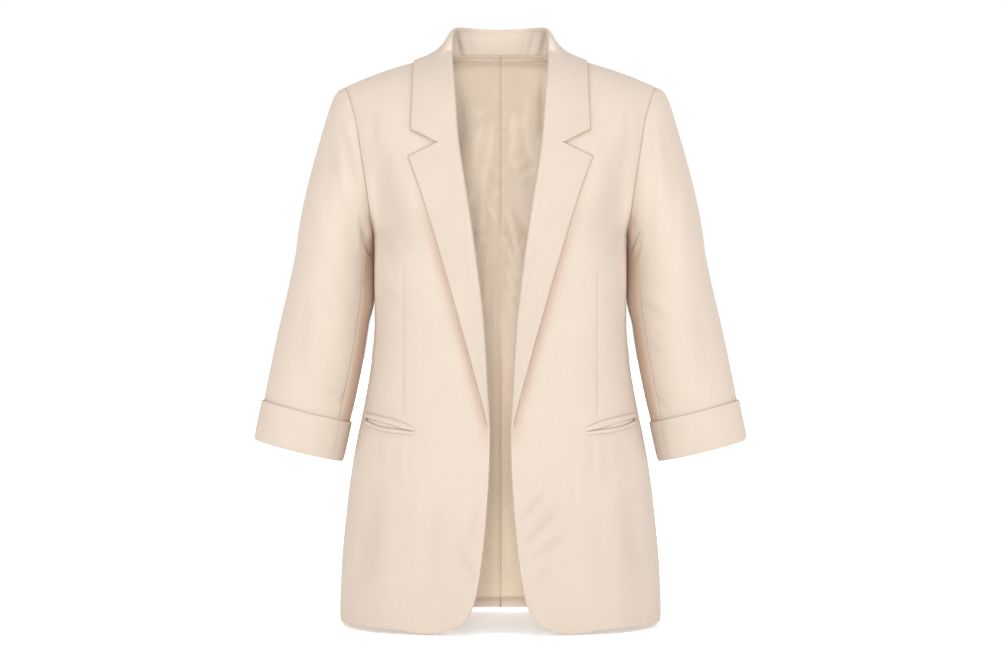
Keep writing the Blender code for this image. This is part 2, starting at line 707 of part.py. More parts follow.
def collar_section(place):
    neck = body(*signed_place(*(read(NECKLINE, "along", name, place) for name in ("x", "station"))))
    fold = collar_fold(place)
    line = unit(collar_fold(min(place + 0.02, 1)) - collar_fold(max(place - 0.02, 0)))
    turn, station = signed_place(*(read(COLLAR, "along", name, place) for name in ("edge_x", "edge_station")))
    edge = body(turn, station) + FALL_RISE * MM * body_normal(turn, station)
    swell = read(COLLAR, "along", "swell", place) * MM * unit(np.cross(line, edge - fold))
    fall = [fold + (edge - fold) * part + swell * math.sin(math.pi * part) for part in FALL_PARTS]
    stand_way, fall_way = unit(fold - neck), unit(fall[2] - fold)
    up = square_to(line, stand_way - fall_way)
    out = square_to(up, square_to(line, stand_way + fall_way))
    radius = min(FOLD_RADIUS * MM, np.linalg.norm(fold - neck) * 0.4)
    middle = fold - radius * up
    base = neck + 0.9 * MM * stand_way
    row = [base + (middle - radius * out - base) * part for part in (0, 0.35, 0.7, 1)]
    row += [middle + radius * (0.75 * up - 0.7 * out), fold, middle + radius * (0.75 * up + 0.7 * out)]
    row += [point + (middle + radius * out - fold) * (1 - part) for point, part in zip(fall, FALL_PARTS)]
    return np.array(row)


def gorge_row():
    """The collar's end: over the roll line as the lapel goes, along the gorge to the notch, then out to
    the collar's point."""
    roll, tip = ROLL_LINE[0], LAPEL_EDGE[0]
    gorge = unit(np.array([tip.x - roll.x, tip.z - roll.z]))
    start = np.array([roll.x, roll.z])
    row = [on_front(*(start + out * gorge), rise) for out, rise in GORGE_PROFILE]
    first = start + FALL_OUT * gorge
    notch = start + NOTCH_OUT * gorge
    for part in FALL_PARTS:
        if part <= NOTCH_PLACE:
            place = first + (notch - first) * part / NOTCH_PLACE
        else:
            place = notch + (np.array(COLLAR_POINT) - notch) * (part - NOTCH_PLACE) / (1 - NOTCH_PLACE)
        row.append(on_front(*place, FALL_RISE + (GORGE_PROFILE[-1].rise - FALL_RISE) * (1 - part) ** 2))
    return np.array(row)


def rest_on_front(point, place):
    """Keeps the fall in front of the chest it lies on."""
    if place < REST_START:
        return point
    rest = on_front(point[0] / MM, point[2] / MM, FALL_RISE)
    return np.array([point[0], min(point[1], rest[1]), point[2]])


def build_collar(finish):
    half = FRONT_NECK_PLACES[:0:-1] + BACK_NECK_PLACES[:-1]
    places = [-place for place in half] + [0] + half[::-1]
    middle = np.array([collar_row(place) for place in places])
    middle = pull_in(pull_in(middle, "top", GORGE_GAP), "bottom", GORGE_GAP)
    normals = grid_normals(middle)
    add_wall("collar", middle + DOUBLED / 2 * normals, middle - DOUBLED / 2 * normals, finish)


def build_welts(finish):
    """Two narrow welts on each slanted pocket mouth, the upper one lifting away a little."""
    upper, lower = [], []
    for x in np.linspace(POCKET[0].x, POCKET[-1].x, WELT_COLUMNS):
        at = Mouth(x, *(read(POCKET, "x", name, x) for name in Mouth._fields[1:]))
        lifts = (0, WELT_SWELL + 0.5 * at.gape, at.gape)
        upper.append(welt_column(x, at.upper_seam, at.upper_edge, lifts))
        lower.append(welt_column(x, at.lower_edge, at.lower_seam, (0.4 * at.gape, WELT_SWELL, 0)))
    for name, columns in (("welt_upper", upper), ("welt_lower", lower)):
        middle = np.array(columns)
        normals = grid_normals(middle)
        add_pair(name, middle + WELT / 2 * normals, middle - WELT / 2 * normals, finish)


def welt_column(x, top, bottom, lifts):
    return [
        on_front(x, top + (bottom - top) * part, WELT_RISE + lift) for part, lift in zip((0, 0.5, 1), lifts)
    ]


def build():
    for old in list(bpy.data.objects):
        bpy.data.objects.remove(old, do_unlink=True)
    shell = material("crepe_suiting", (0.83, 0.70, 0.57), 0.85)
    lining = material("lining_cloth", (0.68, 0.52, 0.40), 0.55)
    seam_normals = build_body(shell, lining)
    build_sleeves(shell, seam_normals)
    build_cuffs(shell)
    build_lapels(shell)
    build_collar(shell)
    build_welts(shell)


build()
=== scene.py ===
# Open-front blazer in pale crepe suiting with turned-back cuffs, filled out and hollow, and a plain studio.
# Every piece is a thin shell on its own solid's form, and its creases are laid on one by one. Sizes in the
# dictionaries of cloth are millimetres and degrees; meshes are metres, with the front towards -Y.
import math

import bpy
import numpy as np
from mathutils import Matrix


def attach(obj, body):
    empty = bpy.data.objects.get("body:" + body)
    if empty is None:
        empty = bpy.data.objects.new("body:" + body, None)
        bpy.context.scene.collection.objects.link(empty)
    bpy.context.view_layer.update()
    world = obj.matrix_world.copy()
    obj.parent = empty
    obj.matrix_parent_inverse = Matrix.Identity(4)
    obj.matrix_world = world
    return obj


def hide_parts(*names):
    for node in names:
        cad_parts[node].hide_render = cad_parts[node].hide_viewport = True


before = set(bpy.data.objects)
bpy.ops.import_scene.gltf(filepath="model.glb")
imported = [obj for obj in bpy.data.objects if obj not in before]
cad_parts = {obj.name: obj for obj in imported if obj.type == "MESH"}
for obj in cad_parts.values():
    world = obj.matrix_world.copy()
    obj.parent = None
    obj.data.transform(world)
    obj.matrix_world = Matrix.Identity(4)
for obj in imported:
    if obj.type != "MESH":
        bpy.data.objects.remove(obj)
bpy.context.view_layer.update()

mm = 0.001
seamGap = 0.14  # between two pieces at a seam
towardsFront = np.array([0, -1, 0])
plainBySeam = 5  # creases die away this near a seam


# reading smooth curves


def cubicStep(t, rise, start, end):
    # what is reached of a rise at t, a share of its span, with the slopes that it starts and ends with
    return t * (start + t * (3 * rise - 2 * start - end + t * (start + end - 2 * rise)))


def smoothCurve(places, values, at):
    # one cubic through the values that never swings past them
    places, values = np.asarray(places, float), np.asarray(values, float)
    steps = np.diff(places)
    secants = np.diff(values) / steps
    sameWay = secants[:-1] * secants[1:] > 0
    total = np.where(sameWay, secants[:-1] + secants[1:], 1)
    middle = np.where(sameWay, 2 * secants[:-1] * secants[1:] / total, 0)
    slopes = np.concatenate([secants[:1], middle, secants[-1:]])
    at = np.clip(at, places[0], places[-1])
    i = np.clip(np.searchsorted(places, at, side="right") - 1, 0, len(steps) - 1)
    t = (at - places[i]) / steps[i]
    start, end, rise = slopes[i] * steps[i], slopes[i + 1] * steps[i], values[i + 1] - values[i]
    return values[i] + cubicStep(t, rise, start, end)


def finerRow(points, steps):
    # rows of 3-D points made finer by a cubic along each row; steps is how many parts each span takes
    spans = np.linalg.norm(np.diff(points, axis=-2), axis=-1)
    spans = np.maximum(spans, 1e-7)[..., None]
    secants = np.diff(points, axis=-2) / spans
    before, after = spans[..., :-1, :], spans[..., 1:, :]
    inner = (before * secants[..., 1:, :] + after * secants[..., :-1, :]) / (before + after)
    slopes = np.concatenate([secants[..., :1, :], inner, secants[..., -1:, :]], axis=-2)
    out = []
    for i, count in enumerate(steps):
        for t in np.arange(count) / count:
            rise = points[..., i + 1, :] - points[..., i, :]
            start, end = slopes[..., i, :] * spans[..., i, :], slopes[..., i + 1, :] * spans[..., i, :]
            out.append(points[..., i, :] + cubicStep(t, rise, start, end))
    out.append(points[..., -1, :])
    return np.stack(out, axis=-2)


def unit(vectors):
    return vectors / np.maximum(np.linalg.norm(vectors, axis=-1, keepdims=True), 1e-12)


def squareTo(line, vectors):
    return unit(vectors - (vectors * line).sum(-1, keepdims=True) * line)


def bell(distance, breadth):
    return np.exp(-((distance / breadth) ** 2))


def ramp(value, start, span, least=0, most=1):
    # from 0 at the start to 1 a span beyond it; a span below zero runs the other way
    return np.clip((value - start) / span, least, most)


def strongest(*shades):
    return np.maximum.reduce(np.broadcast_arrays(*shades))


def awayFromLine(x, z, x0, z0, x1, z1):
    # how far a place is from a line, and the share of the line at the nearest point
    alongX, alongZ = x1 - x0, z1 - z0
    share = np.clip(((x - x0) * alongX + (z - z0) * alongZ) / (alongX**2 + alongZ**2), 0, 1)
    return np.hypot(x - x0 - share * alongX, z - z0 - share * alongZ), share


# the body's form, as the solids have it

# one value for each station from the shoulder seam down to the hem; below the underarm, front and back share
lowerLevels = [-240, -290, -340, -390, -440, -490, -540, -590, -640, -690, -711]
lowerWidths = [157.5, 157.5, 156.7, 160.8, 169, 179.3, 187.8, 193.4, 197.8, 199.8, 200]
squareness = [2.4] * 10 + [2.35] + [2.3] * 8
bodyForm = {
    "shoulderCurve": 1.19,
    "underarm": 8,
    "underarmHalfWidth": 157.5,
    "hem": 18,
    "foldGrowth": 1.6,  # a broad fold has its full height by 1 / 1.6 of its run
    "front": {
        "level": [-2, -6, -15.5, -35, -62, -100, -145, -192] + lowerLevels,
        "halfWidth": [212, 212, 211, 208, 203, 195, 186, 173] + lowerWidths,
        "depth": [0, 20, 40, 62, 80, 98, 111, 118, 121, 118, 113, 110, 111, 114, 116, 118, 119, 119.5,
                  119.5],
        "square": squareness,
        "tilt": [1, 1, 1, 0.98, 0.85, 0.65, 0.35, 0.12] + [0] * 11,
    },
    "back": {
        "level": [-2, -1.2, 0.8, 2.6, -6, -45, -105, -172] + lowerLevels,
        "halfWidth": [212, 212, 212, 211, 208, 202, 192, 176] + lowerWidths,
        "depth": [0, 20, 42, 64, 83, 98, 108, 110, 106, 98.5, 91, 88.5, 92.5, 100, 106, 110, 113, 115, 115],
        "square": squareness,
        "tilt": [1, 1.08, 1.34, 1.66, 1.85, 1.45, 0.80, 0.25] + [0] * 11,
    },
}
bodyColumns = ("level", "halfWidth", "depth", "square", "tilt")

# the hanging cloth's broad soft folds: on the back or not, x and z of both ends, height and half breadth
broadFolds = [
    (False, 128, -520, 150, -760, 2.6, 20), (False, 62, -480, 84, -760, -2.0, 22),
    (True, 58, -450, 72, -760, 3.0, 22), (True, 118, -430, 142, -760, -3.0, 22),
    (True, 60, -330, 128, -372, -2.2, 16),
]

armhole = {"front": [194.5, 192.5, 188.5, 183, 177.5, 172.5, 167, 161.5, 157.5],
           "back": [194.5, 193, 190, 186, 182, 178, 173, 166, 157.5]}
neckline = {
    "along": [0, 0.12, 0.24, 0.36, 0.48, 0.58, 0.66, 0.74, 0.80, 0.86, 0.92, 1],
    "x": [0, 20, 38, 53, 65, 73, 77, 76.5, 74, 69.5, 63, 52.7],
    "station": [-3.5, -3.42, -3.1, -2.5, -1.6, -0.8, 0, 1.2, 2.3, 3.3, 4.2, 5.27],
}
rollLine = {"z": [-114.4, -127.5, -195, -267, -351, -434.5], "x": [50.4, 49, 38.5, 28, 18.6, 14.3],
            "cover": 2.3, "coverFade": 14}
frontEdge = {"z": [-434.5, -470, -512, -554, -602, -649.5, -679, -699, -706.5, -711],
             "x": [14.3, 13.2, 13.8, 16, 20, 26, 32.5, 43, 54, 74]}


def readForm(which, name, station):
    return smoothCurve(np.arange(bodyForm["hem"] + 1), bodyForm[which][name], station)


def readAlong(table, name, place):
    return smoothCurve(table["along"], table[name], place)


def readLine(line, z):
    return smoothCurve([-value for value in line["z"]], line["x"], -z)


def bodyPoint(turn, station):
    # degrees from the centre front, and a station; a station below zero is past the shoulder seam
    turn, station = np.broadcast_arrays(np.asarray(turn, float), np.asarray(station, float))
    turn, station = np.where(station < 0, 180 - turn, turn), np.abs(station)
    side = np.where(turn < 0, -1, 1)
    turn = np.abs(turn)
    side = np.where(turn > 180, -side, side)
    turn = np.where(turn > 180, 360 - turn, turn)
    onBack = turn > 90
    around = np.radians(np.where(onBack, 180 - turn, turn))
    level, halfWidth, depth, square, tilt = (
        np.where(onBack, readForm("back", name, station), readForm("front", name, station))
        for name in bodyColumns
    )
    x = halfWidth * np.sin(around) ** (2 / square)
    y = np.where(onBack, 1, -1) * depth * np.maximum(np.cos(around), 0) ** (2 / square)
    z = level - tilt * bodyForm["shoulderCurve"] * mm * x * x
    height = np.zeros_like(x)
    for back, x0, z0, x1, z1, rise, breadth in broadFolds:
        away, share = awayFromLine(x, z, x0, z0, x1, z1)
        grow = np.sin(np.minimum(share * bodyForm["foldGrowth"], 1) * math.pi / 2)
        height += np.where(onBack == back, rise * grow * bell(away, breadth), 0)
    outX, outY = x / halfWidth**2, y / np.maximum(depth, 1) ** 2
    length = np.maximum(np.hypot(outX, outY), 1e-12)
    return np.stack([side * (x + height * outX / length), y + height * outY / length, z], axis=-1) * mm


def bodyNormal(turn, station):
    turnStep, stationStep = 0.3, 0.03
    across = bodyPoint(turn + turnStep, station) - bodyPoint(turn - turnStep, station)
    down = bodyPoint(turn, station + stationStep) - bodyPoint(turn, station - stationStep)
    return unit(np.cross(down, across))


def turnAt(which, x, station):
    reach = np.minimum(np.abs(x) / readForm(which, "halfWidth", station), 1)
    return np.degrees(np.arcsin(reach ** (readForm(which, "square", station) / 2)))


def signedPlace(x, station):
    # the turn and station of a place given by its half width; a station below zero is on the back
    back = 180 - turnAt("back", x, np.abs(station))
    return np.where(station < 0, back, turnAt("front", x, np.abs(station))), np.abs(station)


def onFront(x, z, rise):
    # a point over the front, seen square on at x and z, raised off its surface
    x, z, rise = np.broadcast_arrays(np.asarray(x, float), np.asarray(z, float), np.asarray(rise, float))
    fine = np.linspace(0, bodyForm["hem"], 10 * bodyForm["hem"] + 1)
    drop = readForm("front", "tilt", fine) * bodyForm["shoulderCurve"] * mm
    levels = readForm("front", "level", fine) - drop * (x * x)[..., None]
    k = np.clip((levels >= z[..., None]).sum(-1), 1, len(fine) - 1)
    above = np.take_along_axis(levels, (k - 1)[..., None], -1)[..., 0]
    below = np.take_along_axis(levels, k[..., None], -1)[..., 0]
    station = fine[k - 1] + np.clip((above - z) / (above - below), 0, 1) * (fine[1] - fine[0])
    turn = turnAt("front", x, station)
    return bodyPoint(turn, station) + rise[..., None] * mm * bodyNormal(turn, station)


# nets of the front and the back, which seams and folds are measured on

panelRows = {
    "shoulder": [0, 0.05, 0.1, 0.17, 0.27, 0.4, 0.6, 0.8],  # parts of the first row, under the seam
    "armholeRows": 14,
    "armholeParts": 5,
    "backNeck": [0.66, 0.57, 0.48, 0.39, 0.29, 0.16, 0],
    "frontNeck": [0.66, 0.71, 0.76, 0.8, 0.84, 0.88, 0.92, 0.96, 1],
    "lower": [8.8, 9.6, 10.4, 11.1, 11.6, 11.9, 12.9, 13.8, 14.8, 15.8, 16.5, 17.1, 17.5, 17.8, 18],
    "spacing": 3.4,  # between rows of the mesh
    "pocketSpacing": 1.6,  # and where the pocket mouth is
    "pocketLevels": (-440, -500),
    "edgePlaces": [0, 0.5, 1.0, 1.6, 2.4, 3.4, 5.0],  # columns beside a seam or an edge
}
lowerStations = [bodyForm["underarm"]] + panelRows["lower"]
lastRow = panelRows["armholeRows"] + len(panelRows["lower"])
lowerRows = list(range(panelRows["armholeRows"], lastRow + 1))


def armholeTurn(which, station):
    stations = np.arange(bodyForm["underarm"] + 1)
    turn = turnAt(which, smoothCurve(stations, armhole[which], station), station)
    turn = np.where(station >= bodyForm["underarm"], 90, turn)
    return turn if which == "front" else 180 - turn


def armholeStation(which, share):
    # stations at even steps along the armhole seam, from the shoulder tip to the underarm
    fine = np.linspace(0, bodyForm["underarm"], 30 * bodyForm["underarm"] + 1)
    points = bodyPoint(armholeTurn(which, fine), fine)
    lengths = np.concatenate([[0], np.cumsum(np.linalg.norm(np.diff(points, axis=0), axis=1))])
    return np.interp(np.asarray(share) * lengths[-1], lengths, fine)


def frontEdgeX(z):
    fade = ramp(z, rollLine["z"][-1], rollLine["coverFade"])
    above = readLine(rollLine, z) + rollLine["cover"] * fade
    return np.where(z > rollLine["z"][-1], above, readLine(frontEdge, z))


def innerEnd(which, row):
    # turn and station of a row's inner end: down the neck seam, then the front edge or the centre back
    neckPlaces = panelRows[which + "Neck"]
    last = len(neckPlaces) - 1
    place = np.interp(row, np.arange(last + 1), neckPlaces)
    neckX, neckStation = readAlong(neckline, "x", place), np.abs(readAlong(neckline, "station", place))
    endStation = abs(readAlong(neckline, "station", neckPlaces[-1]))
    lower = np.interp(row, [last] + lowerRows, [endStation] + lowerStations)
    station = np.where(row <= last, neckStation, lower)
    if which == "back":
        turn = np.where(row <= last, 180 - turnAt("back", neckX, station), 180)
        return np.where(row == last, 180, turn), station
    x = np.zeros_like(station)
    level, tilt = readForm("front", "level", station), readForm("front", "tilt", station)
    for _ in range(6):  # the edge's place and its level settle together
        x = frontEdgeX(level - tilt * bodyForm["shoulderCurve"] * mm * x * x)
    return turnAt("front", np.where(row <= last, neckX, x), station), station


def outerEnd(which, row):
    count = panelRows["armholeRows"]
    lower = np.interp(row, lowerRows, lowerStations)
    station = np.where(row < count, armholeStation(which, np.minimum(row / count, 1)), lower)
    turn = np.where(row < count, armholeTurn(which, np.minimum(station, bodyForm["underarm"])), 90)
    return turn, station


def rowPlaces(which, last):
    # row numbers close enough together for the creases, closer still at the shoulder seam and the pocket
    places = list(panelRows["shoulder"])
    count, parts = panelRows["armholeRows"], panelRows["armholeParts"]
    for row in range(1, count):
        places += list(row + np.arange(parts) / parts)
    levels = readForm("front", "level", np.array(lowerStations))
    pocketTop, pocketFoot = panelRows["pocketLevels"]
    for i in range(last - count):
        byPocket = which == "front" and levels[i] > pocketFoot and levels[i + 1] < pocketTop
        spacing = panelRows["pocketSpacing" if byPocket else "spacing"]
        steps = max(3, math.ceil((levels[i] - levels[i + 1]) / spacing))
        places += list(count + i + np.arange(steps) / steps)
    return np.array(places + [last])


def shares(length, spacing):
    # shares from 0 to 1, close together at the ends, where a seam or an edge turns in
    ends = np.array(panelRows["edgePlaces"]) / length
    middle = np.linspace(ends[-1], 1 - ends[-1], max(2, math.ceil(length * (1 - 2 * ends[-1]) / spacing)))
    return np.concatenate([ends[:-1], middle, 1 - ends[:-1][::-1]])


def panelNet(which, rows, across, pin=None):
    # points and normals; pin bends the columns so that the middle one runs down a line, such as a dart
    innerTurn, innerStation = innerEnd(which, rows)
    outerTurn, outerStation = outerEnd(which, rows)
    share = np.repeat(across[None], len(rows), axis=0)
    if pin is not None:
        pinShare = pin(rows, innerTurn, innerStation, outerTurn, outerStation)[:, None]
        near = across[None] / 0.5 * pinShare
        far = pinShare + (across[None] - 0.5) / 0.5 * (1 - pinShare)
        share = np.where(across[None] < 0.5, near, far)
    turn = innerTurn[:, None] + (outerTurn - innerTurn)[:, None] * share
    station = innerStation[:, None] + (outerStation - innerStation)[:, None] * share
    return bodyPoint(turn, station), bodyNormal(turn, station)


def gridNormals(grid, ringed=False):
    if ringed:
        padded = np.concatenate([grid[:, -1:], grid, grid[:, :1]], axis=1)
        across = np.gradient(padded, axis=1)[:, 1:-1]
    else:
        across = np.gradient(grid, axis=1)
    return unit(np.cross(np.gradient(grid, axis=0), across))


def nearEdge(distance, reach):
    # 1 at an edge, and 0 from a reach away
    return np.clip(1 - distance / reach, 0, 1)


def outward(normals, guide):
    # turned about if they point the other way from the guide
    return normals * np.sign((normals * guide).sum())


def frontView(net):
    # how far each point is from the middle, and its level
    return np.abs(net[..., 0]) / mm, net[..., 2] / mm


def laidOn(net, normals, height, sinkAtArmhole):
    # a surface with its creases on it, drawn into the armhole beside that seam
    net = net + (height * mm)[..., None] * normals
    return net + (sinkAtArmhole * mm)[..., None] * intoArmhole(net)


def sideName(side):
    return "left" if side > 0 else "right"


def edgeDistances(grid):
    # how far each point is from the left, right, top and bottom edges, along the cloth, in millimetres
    across = np.linalg.norm(np.diff(grid, axis=1), axis=2) / mm
    down = np.linalg.norm(np.diff(grid, axis=0), axis=2) / mm
    left = np.concatenate([np.zeros((len(grid), 1)), np.cumsum(across, axis=1)], axis=1)
    top = np.concatenate([np.zeros((1, grid.shape[1])), np.cumsum(down, axis=0)], axis=0)
    return {"left": left, "right": left[:, -1:] - left, "top": top, "bottom": top[-1:] - top}


def drawIn(grid, sides):
    # leaves half a seam's gap at each edge that is sewn, pulled towards the cloth's fourth row or column
    pull = seamGap / 2 * mm
    for side in sides:
        at = {"left": np.s_[:, 0], "right": np.s_[:, -1], "top": np.s_[0], "bottom": np.s_[-1]}[side]
        inside = {"left": np.s_[:, 3], "right": np.s_[:, -4], "top": np.s_[3], "bottom": np.s_[-4]}[side]
        grid[at] += pull * unit(grid[inside] - grid[at])
    return grid


def creaseHeight(x, z, creases, strength):
    # creases laid on one by one: x and z of both ends, height (below zero is a trough) and half breadth
    height = np.zeros_like(x)
    for x0, z0, x1, z1, rise, breadth in creases:
        away, share = awayFromLine(x, z, x0, z0, x1, z1)
        taper = np.sin(math.pi * share) ** 0.8  # it rises from nothing and dies away, and widens as it goes
        height += rise * taper * bell(away, breadth * (0.7 + 0.4 * share))
    return strength * height


# painted shade in a crease's trough, full at the given depth
def paintedTroughShade(height, full):
    return np.clip(-height / full, 0, 1)


def intoArmhole(points):
    # towards the middle of the armhole, which is inward for the body and the sleeve alike
    middle = armholePoint(np.arange(0, 360, 10.0)).mean(0)
    return unit((middle - points) * [0, 1, 1])


def pucker(along, away, pitch, height, reach):
    # small gathers that a seam draws into the cloth beside it, uneven in size along the seam
    wave = np.sin(along / pitch * 2 * math.pi + 1.7 * np.sin(along / pitch * 0.9))
    size = 0.55 + 0.45 * np.sin(along / pitch * 0.37 + 1.1)
    return height * wave * size * bell(away, reach)


# from surfaces to pieces of cloth


# how far the painted warm shade and the painted fold shade and light may go
shadeRanges = {"paintedWarmShade": (0, 1), "paintedFoldShadeAndLight": (-5, 6)}


def addPiece(name, vertices, faces, finish, side, uv, shades, crisp=None):
    # wearer's left is +X; the right piece is the left one's mirror image
    vertices = np.array(vertices)
    if side < 0:
        vertices[:, 0] *= -1
        faces = faces[:, ::-1]
    mesh = bpy.data.meshes.new(name)
    mesh.from_pydata(vertices.tolist(), [], faces.tolist())
    mesh.materials.append(finish)
    mesh.shade_smooth()
    layer = mesh.uv_layers.new(name="clothMetres")
    corner = np.empty(len(mesh.loops), dtype=np.int32)
    mesh.loops.foreach_get("vertex_index", corner)
    layer.data.foreach_set("uv", uv[corner].ravel())
    for (key, (least, most)), shade in zip(shadeRanges.items(), shades):
        attribute = mesh.attributes.new(key, "FLOAT", "POINT")
        attribute.data.foreach_set("value", np.clip(shade, least, most).astype(np.float32))
    if crisp is not None:
        # a sewn edge is folded sharply, so its shading stops at the corner
        ends = np.empty(len(mesh.edges) * 2, dtype=np.int32)
        mesh.edges.foreach_get("vertices", ends)
        ends, crisp = np.sort(ends.reshape(-1, 2), axis=1), np.sort(crisp, axis=1)
        sharp = np.isin(ends @ [len(vertices), 1], crisp @ [len(vertices), 1])
        mesh.attributes.new("sharp_edge", "BOOLEAN", "EDGE").data.foreach_set("value", sharp)
    piece = bpy.data.objects.new(name, mesh)
    bpy.context.collection.objects.link(piece)
    return piece


def quads(*corners):
    return np.stack([corner.ravel() for corner in corners], axis=1)


def clothWall(name, outer, normals, thickness, finish, side, paintedShade, paintedShadeAndLight, roundness, inside=0.0):
    # two faces of cloth, joined round the edge by a turn that is round at a free edge and flat in a seam
    rows, columns = outer.shape[:2]
    thickness = np.broadcast_to(np.asarray(thickness, float), (rows, columns))[..., None] * mm
    inner = outer - thickness * normals
    index = np.arange(rows * columns).reshape(rows, columns)
    rim = np.concatenate([index[0], index[1:, -1], index[-1, -2::-1], index[-2:0:-1, 0]])
    flat, flatInner = outer.reshape(-1, 3), inner.reshape(-1, 3)
    away = np.zeros((rows, columns, 3))
    away[0] += unit(outer[0] - outer[1])
    away[-1] += unit(outer[-1] - outer[-2])
    away[:, 0] += unit(outer[:, 0] - outer[:, 1])
    away[:, -1] += unit(outer[:, -1] - outer[:, -2])
    roundness = np.broadcast_to(roundness, (rows, columns)).reshape(-1, 1)[rim]
    turnOut = unit(away.reshape(-1, 3)[rim]) * thickness.reshape(-1, 1)[rim] * roundness
    edge = (flat[rim] + flatInner[rim]) / 2 + turnOut
    count = rows * columns
    a, b, c, d = index[:-1, :-1], index[:-1, 1:], index[1:, 1:], index[1:, :-1]
    nextRim = np.roll(rim, -1)
    mid = 2 * count + np.arange(len(rim))
    nextMid = np.roll(mid, -1)
    faces = np.concatenate([
        quads(a, b, c, d),
        quads(d, c, b, a) + count,
        quads(nextRim, rim, mid, nextMid),
        quads(nextMid, mid, rim + count, nextRim + count),
    ])
    distances = edgeDistances(outer)
    uv = np.stack([distances["left"], distances["top"]], axis=-1).reshape(-1, 2) * mm
    uv = np.concatenate([uv, uv, uv[rim]])
    both = [np.broadcast_to(shade, (rows, columns)).ravel() for shade in (paintedShade, paintedShadeAndLight)]
    # the inner face adds inside to its painted fold shade and light
    within = [both[0], np.broadcast_to(paintedShadeAndLight + inside, (rows, columns)).ravel()]
    shades = [np.concatenate([shade, deep, deep[rim]]) for shade, deep in zip(both, within)]
    sewn = np.flatnonzero(roundness[:, 0] < 0.01)
    corners = np.stack([rim[sewn], nextRim[sewn]], axis=1)
    crisp = np.concatenate([corners, corners + count])
    first = flat[faces[0]]
    if np.dot(np.cross(first[1] - first[0], first[2] - first[0]), normals[0, 0]) < 0:
        faces = faces[:, ::-1]  # their order has to show the cloth's outside
    return addPiece(name, np.concatenate([flat, flatInner, edge]), faces, finish, side, uv, shades, crisp)


def tubePiece(name, rings, finish, side, paintedShade, paintedShadeAndLight=0.0):
    # closed both ways: rows go round the section, columns round the arm
    rows, columns = rings.shape[:2]
    index = np.arange(rows * columns).reshape(rows, columns)
    faces = quads(index, np.roll(index, -1, 1), np.roll(np.roll(index, -1, 1), -1, 0), np.roll(index, -1, 0))
    down = np.cumsum(np.linalg.norm(rings - np.roll(rings, 1, 0), axis=2), axis=0)
    around = np.cumsum(np.linalg.norm(rings - np.roll(rings, 1, 1), axis=2), axis=1)
    uv = np.stack([around, down], axis=-1).reshape(-1, 2)
    flat = rings.reshape(-1, 3)
    p0, p1, p2, p3 = (flat[faces[:, i]] for i in range(4))
    volume = (p0 * np.cross(p1, p2)).sum() + (p0 * np.cross(p2, p3)).sum()
    if volume < 0:
        faces = faces[:, ::-1]
    return addPiece(name, flat, faces, finish, side, uv, (paintedShade.ravel(), (paintedShadeAndLight + 0 * paintedShade).ravel()))


# finishes


def hexLinear(code):
    # an sRGB hex value as the linear colour that a shader takes
    parts = [int(code[i : i + 2], 16) / 255 for i in (1, 3, 5)]
    return [part / 12.92 if part <= 0.04045 else ((part + 0.055) / 1.055) ** 2.4 for part in parts] + [1]


def addNode(tree, kind, inputs=None, **settings):
    node = tree.nodes.new(kind)
    for name, value in settings.items():
        setattr(node, name, value)
    for name, value in (inputs or {}).items():
        if isinstance(value, bpy.types.NodeSocket):
            tree.links.new(value, node.inputs[name])
        else:
            node.inputs[name].default_value = value
    return node


def newFinish(name):
    finish = bpy.data.materials.new(name)
    finish.use_nodes = True
    finish.node_tree.nodes.clear()
    return finish, finish.node_tree


